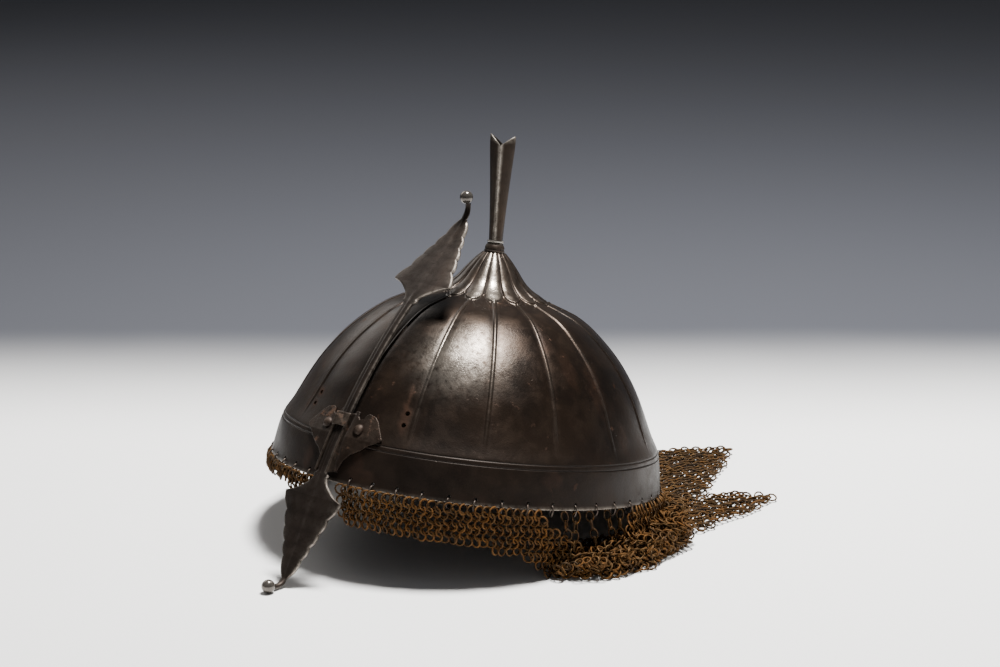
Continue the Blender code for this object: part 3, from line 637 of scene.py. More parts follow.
def tubeRing(share, inset, mouth):
    # a ring of the tube, and how near each of its points is to the front or back ridge
    half = crown["tubeBase"] / 2
    wide = half + (crown["tubeMouth"] / 2 - half) * share ** 1.25 - inset
    deep = half + (crown["tubeDepth"] / 2 - half) * share - inset
    square = 1.0 + 0.45 * min(1.0, 2.5 * share)
    turn = np.linspace(0, fullTurn, crown["tubeSides"], endpoint=False)
    cosine, sine = np.cos(turn), np.sin(turn)
    across = np.sign(cosine) * np.abs(cosine) ** square
    forward = np.sign(sine) * np.abs(sine) ** square
    # the sheet is folded: its front and back ridges are sharper than its sides
    crease = bump(np.abs(sine), 1, 0.012) * crown["tubeCrease"] * min(1.0, 3 * share)
    foot = share * (crown["tubeLength"] - crown["tubeNotch"])
    height = foot + mouth * crown["tubeNotch"] * np.abs(across) ** 0.9
    x, y = wide * across, (deep + crease) * forward
    angle = math.radians(crown["tubeTurn"])
    leaning = -height * math.tan(math.radians(crown["tubeLean"]))
    base = bowl["height"] + 3 * crown["gap"] + crown["collarHeight"] + crown["washerHeight"]
    sideways = x * math.cos(angle) - y * math.sin(angle)
    along = x * math.sin(angle) + y * math.cos(angle) + leaning
    return np.stack([sideways, along, base + height], axis=-1), np.abs(sine)


def makeTube():
    # rows up the outside, over the mouth's edge and down the inside: share of the height, inset, mouth
    wall = crown["tubeWall"]
    rows = [(share, 0.0, 0.0) for share in np.linspace(0, 0.97, 28)]
    rows += [(1.0, 0.0, 0.35), (1.0, 0.0, 0.97), (1.0, 0.12, 1.0), (1.0, wall - 0.12, 1.0), (1.0, wall, 0.97)]
    rows += [(1.0, wall, 0.35)] + [(share, wall, 0.0) for share in np.linspace(0.95, 0.12, 12)]
    rings, wear_and_highlight, grime = [], [], []
    for share, inset, mouth in rows:
        ring, ridge = tubeRing(share, inset, mouth)
        rings.append(ring)
        lip = 0.4 if mouth > 0.9 else 0.0
        wear_and_highlight.append(np.clip(0.70 * bump(ridge, 1, 0.045) * (inset == 0) + lip, 0, 1))
        grime.append(np.full(len(ring), 0.0 if inset == 0 else 0.7))
    marks = {"wear_and_highlight": wear_and_highlight, "grime": grime, "stain": np.zeros((len(rings), crown["tubeSides"]))}
    piece = rolledSheet("plumeTube", rings, tubeSteel, marks, angle=50)
    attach(piece, "helmet")
    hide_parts("plume_tube")


makeCollar()
makeWasher()
makeTube()
print("crown made")


nasal = {
    "radius": 300.0, "standoff": 2.0, "standoffTop": 14.0, "topHeight": 0.73 * bowl["height"], "lineHeight": 20.6,
    "barWidth": 5.8, "barThickness": 2.4, "barLength": 0.855 * bowl["height"], "leafBase": 3.6,
    "upperLength": 0.59 * bowl["height"], "lowerLength": 0.577 * bowl["height"], "leafSteps": 276,
    "leafWidth": 38.0, "leafThickness": 1.8, "lobeRise": 1.1, "stem": 3.0, "ball": 6.9, "gap": 0.3,
}
# share of the leaf's length and of its half width
leafShoulder = ((0.000, 0.19), (0.068, 0.30), (0.125, 0.53), (0.165, 0.76), (0.187, 1.00))
leafNotches = ((0.187, 1.00), (0.325, 0.74), (0.445, 0.61), (0.554, 0.45), (0.661, 0.32), (0.819, 0.11))
lobes = tuple(zip(leafNotches, leafNotches[1:]))
# share of the length and the bend there in degrees
upperBend = ((0.00, 0.0), (0.36, 1.0), (0.60, 0.0), (0.78, -8.0), (0.87, -24.0), (0.93, -50.0), (1.0, -84.0))
lowerBend = ((0.00, 0.0), (0.10, -2.0), (0.70, -1.5), (0.79, 3.0), (0.86, 30.0), (0.92, 64.0), (1.0, 84.0))
# wear and painted highlight of the points round a section: edge, face, ridge, face, the brighter right edge with a
# painted highlight, back
bladeWearAndHighlight = np.array((0.22, 0.14, 0.08, 0.04, 0.03, 0.02, 0.03, 0.05, 0.03, 0.02, 0.03, 0.10, 0.30, 0.55, 0.75,
                      0.5, 0.1, 0.0, 0.0, 0.05, 0.15))


def nasalArc():
    low = np.array([-float(bowlHalves(nasal["lineHeight"])[1]) - nasal["standoff"], nasal["lineHeight"]])
    high = np.array([-float(bowlHalves(nasal["topHeight"])[1]) - nasal["standoffTop"], nasal["topHeight"]])
    chord = high - low
    slope = math.atan2(chord[0], chord[1]) - math.asin(np.hypot(*chord) / 2 / nasal["radius"])
    return low + nasal["radius"] * np.array([math.cos(slope), -math.sin(slope)])


arcCentre = nasalArc()
baseSlope = math.asin((nasal["leafBase"] - arcCentre[1]) / nasal["radius"])


def leafLine(end, direction, length, bend):
    # distance, place from the arc's centre and slope of the points along a leaf
    count = nasal["leafSteps"]
    step = length / count
    place = np.array([-math.cos(end), math.sin(end)]) * nasal["radius"]
    line = [(0.0, place, end)]
    for k in range(1, count + 1):
        slope = end + math.radians(float(smoothTable(bend, (k - 0.5) / count)))
        place = place + direction * step * np.array([math.sin(slope), math.cos(slope)])
        line.append((k * step, place, end + math.radians(float(smoothTable(bend, k / count)))))
    return line


def leafHalfWidth(share):
    half = nasal["leafWidth"] / 2
    barb = math.exp(-((share - 0.012) / 0.010) ** 2)
    if share <= leafShoulder[-1][0]:
        return half * float(smoothTable(leafShoulder, share)) + barb
    for low, high in lobes:
        if share <= high[0]:
            t = (share - low[0]) / (high[0] - low[0])
            return half * (low[1] + (high[1] - low[1]) * t) + nasal["lobeRise"] * math.sin(math.pi * t) ** 0.8
    last, narrow = leafNotches[-1]
    taper = (share - last) / (1 - last)
    return half * narrow + (nasal["stem"] / 2 - half * narrow) * min(1.0, 2 * taper)


def bladeRing(place, slope, half, thick, edge, ridge, roundness):
    # a section across the nasal: bevelled edges, low ridge in front, flat behind
    bevel = min(0.85, 0.4 * half)
    inner = half - bevel
    front = [(-half, edge), (-half + bevel * 0.25, edge + (thick - edge) * 0.55), (-inner, thick)]
    front += [(-inner + 0.18 * bevel, thick + 0.05), (-0.66 * inner, thick)]
    front += [(-0.33 * inner, thick + 0.15 * ridge), (-0.1 * inner, thick + 0.7 * ridge), (0, thick + ridge)]
    front += [(-x, z) for x, z in reversed(front[:-1])]
    back = [(half, -edge), (half - 0.35 * bevel, -thick), (0.4 * half, -thick - 0.02)]
    back += [(-0.4 * half, -thick - 0.02), (-half + 0.35 * bevel, -thick), (-half, -edge)]
    section = np.array(front + back)
    if roundness > 0:
        angle = np.linspace(math.pi, -math.pi, len(section), endpoint=False)
        circle = np.stack([half * np.cos(angle), thick * np.sin(angle)], axis=-1)
        section = section * (1 - roundness) + circle * roundness
    out = np.array([0.0, -math.cos(slope), math.sin(slope)])
    centre = np.array([0.0, arcCentre[0] + place[0], arcCentre[1] + place[1]])
    return centre + section[:, :1] * np.array([1.0, 0.0, 0.0]) + section[:, 1:] * out


def leafSections(line):
    length = line[-1][0]
    stemFrom = leafNotches[-1][0]
    stemEnd = 1 - (nasal["ball"] / 2 + nasal["gap"]) / length
    shares = list(np.linspace(0, 0.187, 24))
    count = 14
    for low, high in lobes:
        width = high[0] - low[0]
        shares += [low[0] + width * (0.5 - 0.5 * math.cos(math.pi * k / count)) for k in range(1, count + 1)]
    shares += list(np.linspace(shares[-1], stemEnd, 16))[1:]
    rings, wear_and_highlight, grime = [], [], []
    for share in shares:
        at = share * length
        row = min(int(at / length * (len(line) - 1)), len(line) - 2)
        t = (at - line[row][0]) / (line[row + 1][0] - line[row][0])
        place, slope = (line[row][k] * (1 - t) + line[row + 1][k] * t for k in (1, 2))
        stem = ramp(share, stemFrom - 0.06, stemFrom + 0.05)
        thick = nasal["leafThickness"] / 2 * (1 - stem) + nasal["stem"] / 2.4 * stem
        ridge = 0.05 + 0.35 * (1 - ramp(share, 0.0, 0.14)) + 0.15 * ramp(share, 0.5, 0.75)
        rings.append(bladeRing(place, slope, leafHalfWidth(share), thick, 0.42, ridge * (1 - stem), float(stem)))
        # painted glints: each lobe is brightest at its middle
        lobe = [(share - a[0]) / (b[0] - a[0]) for a, b in lobes if a[0] <= share <= b[0]]
        glint = 0.35 + 0.75 * math.sin(math.pi * lobe[0]) if lobe else 1.0
        wear_and_highlight.append(bladeWearAndHighlight * (1 - 0.4 * float(stem)) * glint)
        grime.append(np.full(len(bladeWearAndHighlight), 0.15 * float(1 - ramp(share, 0.0, 0.05))))
    return rings, wear_and_highlight, grime


def barSections(barTurn):
    rings, wear_and_highlight, grime = [], [], []
    for share in np.linspace(0.008, 0.992, 60):
        slope = baseSlope + barTurn * share
        place = nasal["radius"] * np.array([-math.cos(slope), math.sin(slope)])
        half = nasal["barWidth"] / 2 - 0.05
        rings.append(bladeRing(place, slope, half, nasal["barThickness"] / 2 - 0.3, 0.75, 0.28, 0.0))
        wear_and_highlight.append(bladeWearAndHighlight * 0.35)
        grime.append(np.full(len(bladeWearAndHighlight), 0.25 * float(1 - ramp(share, 0.1, 0.35))))
    return rings, wear_and_highlight, grime


def makeNasal():
    barTurn = nasal["barLength"] / nasal["radius"]
    upper = leafLine(baseSlope + barTurn, 1, nasal["upperLength"], upperBend)
    lower = leafLine(baseSlope, -1, nasal["lowerLength"], lowerBend)
    parts = zip(leafSections(lower), barSections(barTurn), leafSections(upper))
    rings, wear_and_highlight, grime = (np.array(below[::-1] + bar + above) for below, bar, above in parts)
    stain = 0.25 * ramp(wobble(rings[..., 2] * 0.09, rings[..., 0] * 0.3, 1.0), 0.2, 0.8)
    piece = rolledSheet("slidingNasal", rings, nasalSteel, {"wear_and_highlight": wear_and_highlight, "grime": grime, "stain": stain}, angle=32)
    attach(piece, "nasal")
    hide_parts("nasal")
    return upper[-1][1] + arcCentre, lower[-1][1] + arcCentre


def makeBall(name, cadNode, place):
    # a filed steel bead: slightly flattened poles
    turn = np.linspace(0, fullTurn, 40, endpoint=False)
    half = nasal["ball"] / 2
    rings = []
    for angle in np.linspace(-math.pi / 2 + 0.08, math.pi / 2 - 0.08, 22):
        radius, level = half * math.cos(angle), place[1] + half * math.sin(angle)
        rings.append([(radius * math.cos(a), place[0] + radius * math.sin(a), level) for a in turn])
    piece = rolledSheet(name, rings, brightSteel, angle=60)
    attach(piece, "nasal")
    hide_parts(cadNode)


upperPlace, lowerPlace = makeNasal()
makeBall("upperBead", "upper_ball", upperPlace)
makeBall("lowerBead", "lower_ball", lowerPlace)
print("nasal made")


bracket = {
    "voxel": 0.28, "smoothing": 0.5, "smoothRounds": 3, "stain": 0.12,
    "rivetRadius": 2.8, "rivetHeight": 1.7, "rivetLift": 1.8, "rivetAside": 10.4, "rivetLevel": 26.3,
    "rivetSides": 28, "rivetStain": 0.4,
}


def makeBracket():
    # the solid's own form with its edges filed round
    deselect()
    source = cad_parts["nasal_bracket"]
    mesh = source.data.copy()
    mesh.transform(source.matrix_world)
    piece = bpy.data.objects.new("nasalBracket", mesh)
    bpy.context.collection.objects.link(piece)
    pickOnly(piece)
    bpy.ops.object.mode_set(mode="EDIT")
    bpy.ops.mesh.select_all(action="SELECT")
    bpy.ops.mesh.remove_doubles(threshold=1e-6)
    bpy.ops.object.mode_set(mode="OBJECT")
    remesh = piece.modifiers.new("file", "REMESH")
    remesh.mode = "VOXEL"
    remesh.voxel_size = bracket["voxel"] * mm
    smooth = piece.modifiers.new("round", "SMOOTH")
    smooth.factor = bracket["smoothing"]
    smooth.iterations = bracket["smoothRounds"]
    applyModifiers(piece)
    finishPiece(piece, "nasalBracket", bracketSteel, 60)
    points = toHelmet(readPoints(piece))
    halfWidth, halfLength = bowlHalves(np.clip(points[:, 2], 0, 60))
    off = (np.hypot(points[:, 0] / halfWidth, points[:, 1] / halfLength) - 1) * halfLength
    raised = ramp(off, 1.6, 3.5)
    addMark(piece.data, "wear_and_highlight", np.clip(0.12 * raised + 0.05, 0, 1))
    addMark(piece.data, "grime", np.clip(0.5 * (1 - ramp(np.abs(points[:, 0]), 4.6, 8.0)) * (1 - raised), 0, 1))
    addMark(piece.data, "stain", np.full(len(points), bracket["stain"]))
    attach(piece, "helmet")
    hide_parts("nasal_bracket")


def makeRivet(name, cadNode, sideways):
    level, sides = bracket["rivetLevel"], bracket["rivetSides"]
    middle, out = bowlSpot(math.asin(sideways / float(bowlHalves(level)[0])), level, bracket["rivetLift"])
    turnTo = np.array(Vector((0, 0, 1)).rotation_difference(Vector(out)).to_matrix())
    turn = np.linspace(0, fullTurn, sides, endpoint=False)
    rings, wear_and_highlight, grime = [], [], []
    for share in (0.0, 0.12, 0.3, 0.5, 0.7, 0.85, 0.95, 0.99):
        radius = bracket["rivetRadius"] * math.sqrt(1 - share ** 2) * (1 + 0.04 * np.sin(turn * 3 + sideways))
        height = np.full(sides, bracket["rivetHeight"] * share)
        rings.append(middle + np.stack([radius * np.cos(turn), radius * np.sin(turn), height], axis=-1) @ turnTo.T)
        wear_and_highlight.append(np.full(sides, 0.02 + 0.10 * share))
        grime.append(np.full(sides, 0.5 * (1 - share)))
    marks = {"wear_and_highlight": wear_and_highlight, "grime": grime, "stain": np.full((len(rings), sides), bracket["rivetStain"])}
    piece = rolledSheet(name, rings, bracketSteel, marks, angle=60)
    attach(piece, "helmet")
    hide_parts(cadNode)


makeBracket()
makeRivet("rivetLeft", "rivet_left", bracket["rivetAside"])
makeRivet("rivetRight", "rivet_right", -bracket["rivetAside"])
print("bracket made")


# "sunk" says how far down the mail has sunk from the rim: azimuth, millimetres
mail = {
    "ring": 2.60, "wire": 0.50, "along": 3.8, "down": 3.2, "tilt": 30.0, "start": 4.0, "firstRow": 1.9,
    "spill": 1.6, "slack": 2.0, "wall": 1.6, "lie": 2.1, "lieOver": 0.1, "loopWire": 0.45,
    "rock": 5.0, "sizeSpread": 0.035, "linkLength": 4.5, "firstLink": 3.2, "loopSize": (0.70, 1.05),
    "sunk": ((0.0, 0.0), (61.0, 0.0), (70.0, 13.0), (77.0, 24.0), (90.0, 22.0), (97.0, 0.0),
             (263.0, 0.0), (270.0, 22.0), (288.0, 20.0), (297.0, 0.0), (360.0, 0.0)),
}
# azimuth, drop, reach outwards, reach backwards of the lower edge; a drop of 99 lies on the table
leftEdge = (
    (9.0, 21.5, 0.5, 0.0), (30.0, 22.5, 1.0, -0.5), (46.0, 22.5, 1.0, -0.5), (54.0, 24.5, 1.0, 0.0),
    (60.0, 28.0, 1.0, 0.5), (64.0, 31.5, 1.0, 0.5),
    (67.0, 99.0, 2.5, 2.0), (72.0, 99.0, 8.0, -1.0), (78.0, 99.0, 17.0, -3.0), (86.0, 99.0, 20.5, 0.5),
    (97.0, 99.0, 22.0, 2.5), (105.0, 99.0, 27.5, 9.0), (110.0, 99.0, 22.0, 14.0), (114.0, 99.0, 17.5, 18.0),
    (118.0, 99.0, 20.5, 36.0), (122.0, 99.0, 25.5, 54.0), (126.0, 99.0, 28.0, 67.0), (131.0, 99.0, 16.5, 46.5),
    (134.0, 99.0, 13.5, 29.5), (138.0, 99.0, 10.5, 13.5), (142.0, 99.0, 13.5, 24.0), (148.0, 99.0, 14.5, 37.0),
    (156.0, 99.0, 16.0, 55.0), (165.0, 99.0, 15.5, 80.0), (171.0, 99.0, 9.5, 64.0), (176.0, 99.0, 3.5, 40.0),
    (180.0, 99.0, 0.0, 27.0),
)
rightEdge = (
    (9.0, 11.0, 0.5, 0.0), (40.0, 9.0, 1.0, -0.5), (60.0, 8.0, 1.0, -0.5), (74.0, 15.0, 1.0, 0.5),
    (82.0, 24.0, 1.0, 0.5), (86.0, 99.0, 6.0, 0.5), (92.0, 99.0, 20.0, 1.0),
)
# outline of the heap beside the bowl, on the table, in millimetres; the wearer's right has the like
heap = (
    (84, -46), (97, -58), (107, -51), (113, -43), (119, -27), (120.5, 0), (119, 22), (108, 35), (97, 46),
    (86, 54), (80, 48), (88, 30), (98, 5), (98, -14), (90, -24),
)
heapRight = tuple((-x, y) for x, y in heap if y > -10) + ((-112, -8), (-104, -12))
# strands: azimuth, links, size of a link, swing
strands = (
    (70.5, 3, 1.06, 0.10), (74.5, 4, 1.12, -0.14), (79.0, 4, 1.04, 0.16), (85.5, 4, 1.10, 0.22),
    (91.5, 3, 1.10, -0.10), (271.0, 4, 1.0, 0.1), (278.0, 4, 1.0, -0.1), (287.0, 4, 1.0, 0.1),
)


def edgeTable():
    alike = tuple(row for row in leftEdge if row[0] > rightEdge[-1][0])
    right = [(360 - a, drop, -out, back) for a, drop, out, back in reversed(rightEdge + alike[:-1])]
    return np.array(leftEdge + tuple(right))


edges = edgeTable()


def rimPlace(azimuth):
    angle = math.radians(azimuth)
    halfWidth, halfLength = (float(v) - mail["wall"] / 2 for v in bowlHalves(0.0))
    return toWorld(np.array([[halfWidth * math.sin(angle), -halfLength * math.cos(angle), 0.0]]))[0] / mm


def mailSection(azimuth):
    # points down the mail's middle at one azimuth, from the rim to its lower edge or along the table
    drop, out, back = (np.interp(azimuth, edges[:, 0], edges[:, k]) for k in (1, 2, 3))
    rim = rimPlace(azimuth)
    heading = np.array([out, back])
    reach = float(np.hypot(*heading))
    heading = heading / reach if reach > 1e-3 else outwardAt(azimuth)
    start, low = rim[2] - 0.6, mail["lie"]
    shares = np.linspace(0, 1, 24)
    if drop < start - low:
        touch = None
        line = [(reach * t, start - drop * t) for t in shares]
    else:
        reach = max(reach, mail["slack"])
        touch = min(reach, 0.75 * start + mail["slack"])
        corners = ((0.0, start), (0.1 * touch, low + (start - low) * 0.45), (0.35 * touch, low), (touch, low))
        line = []
        for t in shares:
            weights = ((1 - t) ** 3, 3 * t * (1 - t) ** 2, 3 * t * t * (1 - t), t ** 3)
            line.append(tuple(sum(w * c[k] for w, c in zip(weights, corners)) for k in (0, 1)))
    line = np.array(line)
    points = np.stack([rim[0] + heading[0] * line[:, 0], rim[1] + heading[1] * line[:, 0], line[:, 1]], axis=-1)
    return points, touch, heading, rim[:2] + heading * reach


def ringTemplate(radius, wire, around=10, through=5):
    deselect()
    bpy.ops.mesh.primitive_torus_add(major_segments=around, minor_segments=through, major_radius=radius * mm,
                                     minor_radius=wire * mm)
    piece = bpy.context.object
    points = readPoints(piece) / mm
    faces = np.array([list(face.vertices) for face in piece.data.polygons])
    bpy.data.objects.remove(piece, do_unlink=True)
    return points, faces


def joinRings(name, rings, template, material):
    # rings: middle, direction along the row, direction down the column, size along, size down, tone
    points, faces = template
    count = len(points)
    allPoints, allFaces, tones = [], [], []
    half = np.abs(points[:, 0]).max()
    for k, (middle, along, down, sizeAlong, sizeDown, tone) in enumerate(rings):
        # no ring reaches through the table
        low = half * math.hypot(along[2] * sizeAlong, down[2] * sizeDown) + mail["lieOver"]
        middle = np.array([middle[0], middle[1], max(middle[2], low)])
        laid = points[:, :1] * along * sizeAlong + points[:, 1:2] * down * sizeDown
        allPoints.append(middle + (laid + points[:, 2:3] * np.cross(along, down)))
        allFaces.append(faces + k * count)
        tones.append(np.full(count, tone))
    mesh = bpy.data.meshes.new(name)
    stacked = np.concatenate(allPoints) * mm
    mesh.from_pydata(stacked.tolist(), [], np.concatenate(allFaces).tolist())
    piece = bpy.data.objects.new(name, mesh)
    bpy.context.collection.objects.link(piece)
    tone = np.concatenate(tones)
    addMark(mesh, "stain", np.clip(tone, 0, 1))
    addMark(mesh, "grime", np.clip(-tone, 0, 1))
    addMark(mesh, "wear_and_highlight", np.clip(0.15 + 0.3 * wobble(stacked[:, 0] * 900, stacked[:, 1] * 900, 0.3), 0, 1))
    finishPiece(piece, name, material, 80)
    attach(piece, "helmet")
    return piece


def wovenRing(middle, along, down, odd, tone, jitter=1.0, tilt=mail["tilt"]):
    # alternate rows lean to either side about the column's direction, so that they link
    normal = np.cross(along, down)
    angle = math.radians(tilt * (-1 if odd else 1) + jitter * dice.normal(0, mail["rock"]))
    along2 = along * math.cos(angle) + normal * math.sin(angle)
    rock = math.radians(jitter * dice.normal(0, mail["rock"]))
    down2 = down * math.cos(rock) + np.cross(along2, down) * math.sin(rock)
    size = 1 + dice.normal(0, mail["sizeSpread"], 2)
    return (middle, along2, down2, size[0], size[1], tone)


def hangingRings(low=0.0, high=360.0, inward=0.0, rows=17):
    # rows that follow the rim; each column runs down the drape as far as the edge or the table
    first, last = mail["start"], 360 - mail["start"]
    perimeter = np.linspace(first, last, 1200)
    travelled = runOf(np.array([rimPlace(a) for a in perimeter]))
    columns = int(travelled[-1] / mail["along"])
    rings = []
    for row in range(rows):
        shift = 0.5 if row % 2 else 0.0
        depth = mail["firstRow"] + row * mail["down"]
        for column in range(columns):
            at = (column + 0.5 + shift) * travelled[-1] / (columns + 0.5)
            azimuth = float(np.interp(at, travelled, perimeter))
            if not low <= azimuth <= high:
                continue
            points, touch = mailSection(azimuth)[:2]
            run = runOf(points)
            ahead, behind = (mailSection(a)[0] for a in (min(azimuth + 0.6, last), max(azimuth - 0.6, first)))
            sunk = float(np.interp(azimuth, *zip(*mail["sunk"]))) + dice.normal(0, 0.8)
            if depth > run[-1] + (-2.2 if touch is None else 2.0) or (row + 1) * mail["down"] < sunk:
                continue
            down = placeAt(points, run, depth + 1.5) - placeAt(points, run, depth - 1.5)
            if np.linalg.norm(down) < 0.2:
                continue
            down = unit(down)
            along = squareTo(unit(placeAt(ahead, run, depth) - placeAt(behind, run, depth)), down)
            wave = 0.7 * math.sin(azimuth * 0.6 + row * 0.4) * (depth / 20)
            clear = 1.5 * math.exp(-(depth / 9.0) ** 2)
            middle = placeAt(points, run, depth) + outwardAt(azimuth, 0.0) * (wave + clear - inward)
            middle = middle + dice.normal(0, 0.18, 3)
            middle[2] = max(middle[2], mail["lie"] - 0.2)
            tone = (0.45 if azimuth < 300 else 0.05) + dice.normal(0, 0.25)
            rings.append(wovenRing(middle, along, down, row % 2, tone))
    return rings


def insideShape(points, shape):
    # even-odd test of many points against one closed outline
    x, y = points[:, 0], points[:, 1]
    inside = np.zeros(len(points), bool)
    for (x0, y0), (x1, y1) in zip(shape, np.roll(shape, -1, axis=0)):
        crosses = (y0 > y) != (y1 > y)
        with np.errstate(divide="ignore", invalid="ignore"):
            inside ^= crosses & (x < (x1 - x0) * (y - y0) / (y1 - y0) + x0)
    return inside


def lyingPatch(low, high):
    # outline on the table between two azimuths: the touch line and the mail's edge
    inner, outer = [], []
    for azimuth in np.linspace(low, high, 90):
        points, touch, heading, edge = mailSection(azimuth)
        if touch is not None:
            inner.append(points[-1][:2] - heading * 3.0)
            outer.append(edge)
    return np.array(inner + outer[::-1])


def lyingRings(shape, direction, lift, ruck, seed, tone, fold=0.0, loose=1.0, wide=1.0, lean=27.0, squeeze=1.0):
    # a woven patch that lies on the table, its columns all in one direction
    shape = np.array(shape)
    heading = outwardAt(direction)
    across = np.array([heading[1], -heading[0]])
    rows, columns = np.meshgrid(np.arange(-48, 49), np.arange(-48, 49), indexing="ij")
    rows, columns = rows.ravel(), columns.ravel()
    u = (columns + 0.5 * (rows % 2)) * mail["along"] * wide
    v = rows * mail["down"] * wide * squeeze
    flat = shape.mean(axis=0) + across * u[:, None] + heading * v[:, None]
    flat = flat + 1.2 * np.stack([wobble(flat[:, 0] * 0.07, flat[:, 1] * 0.07, seed),
                                  wobble(flat[:, 1] * 0.07, flat[:, 0] * 0.07, seed + 2)], axis=-1)
    inside = insideShape(flat, shape)
    for angle in np.linspace(0, fullTurn, 8, endpoint=False):
        inside |= insideShape(flat + mail["spill"] * np.array([math.cos(angle), math.sin(angle)]), shape)
    flat, rows = flat[inside], rows[inside]

    def rise(p):
        broad = 0.5 + 0.5 * wobble(p[:, 0] * 0.16, p[:, 1] * 0.13, seed)
        folds = 0.0
        if fold:
            bent = 1.6 * wobble(p[:, 0] * 0.09, p[:, 1] * 0.08, seed)
            folds = fold * (0.5 + 0.5 * np.sin((p @ heading) * 2 * math.pi / 8.0 + bent))
        return ruck * np.maximum(broad + 0.3 * wobble(p[:, 0] * 0.4, p[:, 1] * 0.37, seed + 1), 0) + folds

    height = rise(flat)
    slopeAcross = (rise(flat + across) - rise(flat - across)) / 2
    slopeHeading = (rise(flat + heading) - rise(flat - heading)) / 2
    rings = []
    for k in range(len(flat)):
        along = unit(np.array([across[0], across[1], slopeAcross[k]]))
        down = squareTo(np.array([heading[0], heading[1], slopeHeading[k]]), along)
        middle = np.array([flat[k, 0], flat[k, 1], mail["lie"] + lift + height[k]]) + dice.normal(0, 0.2, 3)
        middle[2] = max(middle[2], mail["lie"] - 0.1)
        rings.append(wovenRing(middle, along, down, rows[k] % 2, tone + dice.normal(0, 0.3), loose, lean))
    return rings


def rimLoops():
    # wire loops through the rim's holes, round the edge
    rings = []
    upward = leanMatrix @ np.array([0, 0, 1.0])
    for azimuth in rimHoleAzimuths():
        middle = bowlSpot(azimuth, 0.0, -0.8)[0] + np.array([0, 0, -0.35])
        tangent = np.array([math.cos(azimuth), math.sin(azimuth), 0.0])
        swing = dice.normal(0, 0.22)
        outward = bowlSpot(azimuth, 1.0)[1] * math.cos(swing) + tangent * math.sin(swing)
        outward = squareTo(leanMatrix @ outward, upward)
        sizes = [size + dice.normal(0, 0.06) for size in mail["loopSize"]]
        rings.append((toWorld(middle[None])[0] / mm, outward, upward, *sizes, dice.normal(0.0, 0.3)))
    return rings


def hangingStrands():
    # single columns of pulled links, where the mail has sunk away from the rim
    rings = []
    for azimuth, count, size, swing in strands:
        rim = rimPlace(azimuth)
        outward = outwardAt(azimuth, 0.0)
        tangent = np.array([-outward[1], outward[0], 0.0]) * (-1 if azimuth > 180 else 1)
        downward = np.array([0, 0, -1.0]) * math.cos(swing) + tangent * math.sin(swing) + outward * 0.12
        downward = unit(downward)
        for k in range(count):
            turn = math.radians(90 * (k % 2) + 45 + dice.normal(0, 10))
            side = squareTo(outward * math.cos(turn) + tangent * math.sin(turn), downward)
            middle = rim + downward * (mail["firstLink"] + mail["linkLength"] * size * k) + dice.normal(0, 0.12, 3)
            middle[2] = max(middle[2], 3.4)
            narrow = 0.70 + dice.normal(0, 0.05)
            rings.append((middle, side, downward, narrow, 1.04 * size, -0.05 + dice.normal(0, 0.25)))
    return rings


def makeMail():
    template = ringTemplate(mail["ring"], mail["wire"])
    band = joinRings("mailBand", hangingRings() + hangingRings(300.0, 356.0, inward=3.2, rows=3), template, rustyIron)
    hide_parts("aventail")
    bunch = lyingRings(heap, 88, 0.5, 1.2, 0.4, 0.25, fold=2.6, loose=2.0, lean=38.0)
    bunch += lyingRings(heap, 47, 2.0, 1.8, 0.9, 0.30, fold=5.2, loose=2.2, wide=1.05, squeeze=0.62)
    joinRings("mailHeap", bunch, template, rustyIron)
    tongue = lyingRings(lyingPatch(114, 139.5), 143, 0.2, 1.2, 1.1, 0.0, loose=1.5, wide=1.06)
    joinRings("mailTongue", tongue, template, rustyIron)
    back = lyingRings(lyingPatch(139.5, 180.5), 143, 0.1, 0.8, 2.0, -0.15, loose=0.6, wide=1.04)
    back += lyingRings(lyingPatch(179.5, 220.5), 217, 0.1, 0.8, 3.0, -0.15, loose=0.6, wide=1.04)
    joinRings("mailBack", back, template, rustyIron)
    right = lyingRings(lyingPatch(220.5, 246), 217, 0.2, 1.2, 4.1, 0.0, loose=1.5, wide=1.06)
    right += lyingRings(heapRight, 272, 0.3, 1.0, 5.0, 0.3, fold=4.0, loose=2.0)
    joinRings("mailRight", right, template, rustyIron)
    joinRings("mailStrands", hangingStrands(), template, rustyIron)
    joinRings("rimLoops", rimLoops(), ringTemplate(mail["ring"], mail["loopWire"], 16, 6), loopIron)
    print("mail made", len(bunch), len(tongue), len(back), len(right))


makeMail()


# camera from the rim's centre in millimetres; lights and floor in metres
studio = {
    "camera": (792.7, -906.5, 391.2), "look": (-0.626, 0.737, -0.254), "right": (0.762, 0.647, 0.0), "lens": 85.0,
    "soft": (0.30, 0.30), "softHeight": 1.25, "softShift": (0.09, 0.185), "softPower": 66.0,
    "softColour": (1.0, 0.985, 0.96), "fillPlace": (-1.6, 0.35, 1.05), "fill": (1.2, 0.9), "fillPower": 8.6,
    "fillColour": (1.0, 0.95, 0.90), "world": (0.20, 0.20, 0.205), "worldStrength": 0.62,
    # floor colours: near, painted dim to far along the camera's level looking direction, as painted shade of the
    # light falling off
    "floor": 60.0, "away": (-0.647, 0.762), "dimFrom": 0.13, "dimTo": 0.42, "cloudy": 0.04,
    "near": (0.84, 0.84, 0.838), "far": (0.054, 0.0568, 0.068),
}


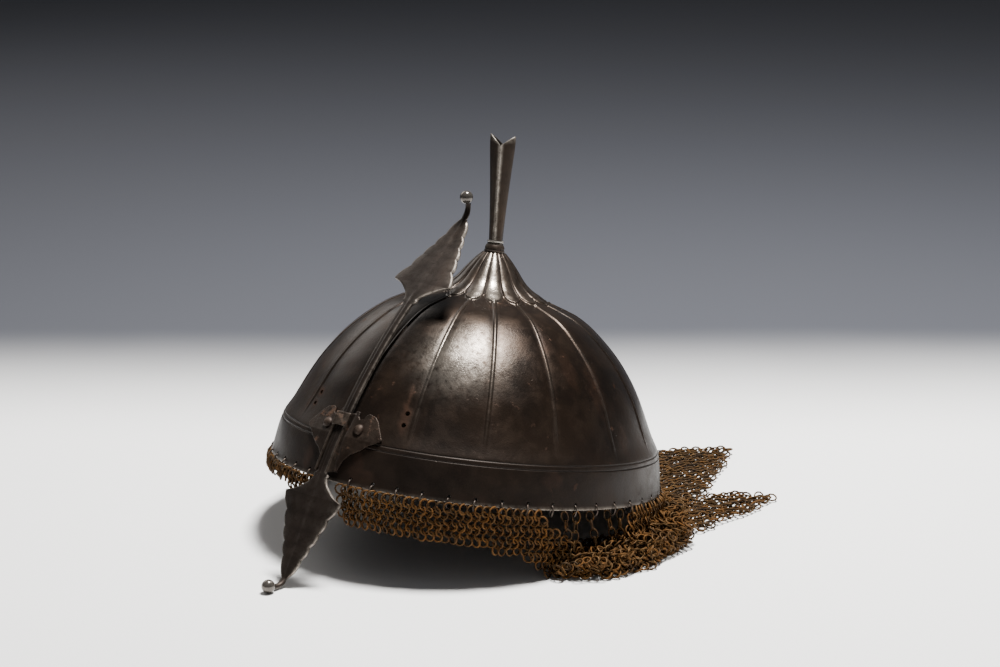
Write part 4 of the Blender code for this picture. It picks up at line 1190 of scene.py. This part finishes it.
def floorMaterial():
    # white near the helmet, painted darker and blue grey away from the camera: painted shade of the light's fall-off,
    # standing in for the backdrop behind it
    material = bpy.data.materials.new("paintedFalloffTable")
    material.use_nodes = True
    tree = material.node_tree
    shader = tree.nodes["Principled BSDF"]
    place = tree.nodes.new("ShaderNodeTexCoord").outputs["Object"]
    split = tree.nodes.new("ShaderNodeSeparateXYZ")
    tree.links.new(place, split.inputs["Vector"])
    away = sums(tree, "MULTIPLY", split.outputs["Y"], studio["away"][1])
    away = sums(tree, "MULTIPLY_ADD", split.outputs["X"], studio["away"][0], away)
    away = sums(tree, "MULTIPLY_ADD", noise(tree, place, 2.5, 3.0), studio["cloudy"], away)
    dim = spread(tree, away, studio["dimFrom"], studio["dimTo"])
    tree.links.new(mixColour(tree, dim, (*studio["near"], 1), (*studio["far"], 1)), shader.inputs["Base Color"])
    shader.inputs["Roughness"].default_value = 0.8
    shader.inputs["Specular IOR Level"].default_value = 0.2
    return material


def makeStage():
    deselect()
    bpy.ops.mesh.primitive_plane_add(size=studio["floor"], location=(0, 0, 0))
    floor = bpy.context.object
    floor.name = "table"
    floor.data.materials.append(floorMaterial())


def areaLight(name, place, target, size, power, colour):
    light = bpy.data.lights.new(name, "AREA")
    light.shape = "RECTANGLE"
    light.size, light.size_y = size
    light.energy = power
    light.color = colour
    lamp = bpy.data.objects.new(name, light)
    bpy.context.collection.objects.link(lamp)
    lamp.location = place
    lamp.rotation_euler = (Vector(target) - Vector(place)).to_track_quat("-Z", "Y").to_euler()


def makeLights():
    x, y = studio["softShift"]
    areaLight("overheadSoftbox", (x, y, studio["softHeight"]), (x - 0.02, y + 0.05, 0.0),
              studio["soft"], studio["softPower"], studio["softColour"])
    areaLight("frontFill", studio["fillPlace"], (0.0, 0.0, 0.08),
              studio["fill"], studio["fillPower"], studio["fillColour"])
    world = bpy.data.worlds.new("studio")
    bpy.context.scene.world = world
    world.use_nodes = True
    back = world.node_tree.nodes["Background"]
    back.inputs["Color"].default_value = (*studio["world"], 1)
    back.inputs["Strength"].default_value = studio["worldStrength"]


def makeCamera():
    data = bpy.data.cameras.new("camera")
    data.lens = studio["lens"]
    data.sensor_width = 36.0
    data.clip_end = 50.0
    camera = bpy.data.objects.new("camera", data)
    bpy.context.collection.objects.link(camera)
    look = Vector(studio["look"]).normalized()
    right = Vector(studio["right"]).normalized()
    look = (look - right * look.dot(right)).normalized()
    turn = Matrix((right, right.cross(look), -look)).transposed().to_4x4()
    turn.translation = Vector(studio["camera"]) * mm + Vector(pose["rimCentre"]) * mm
    camera.matrix_world = turn
    bpy.context.scene.camera = camera


makeStage()
makeLights()
makeCamera()
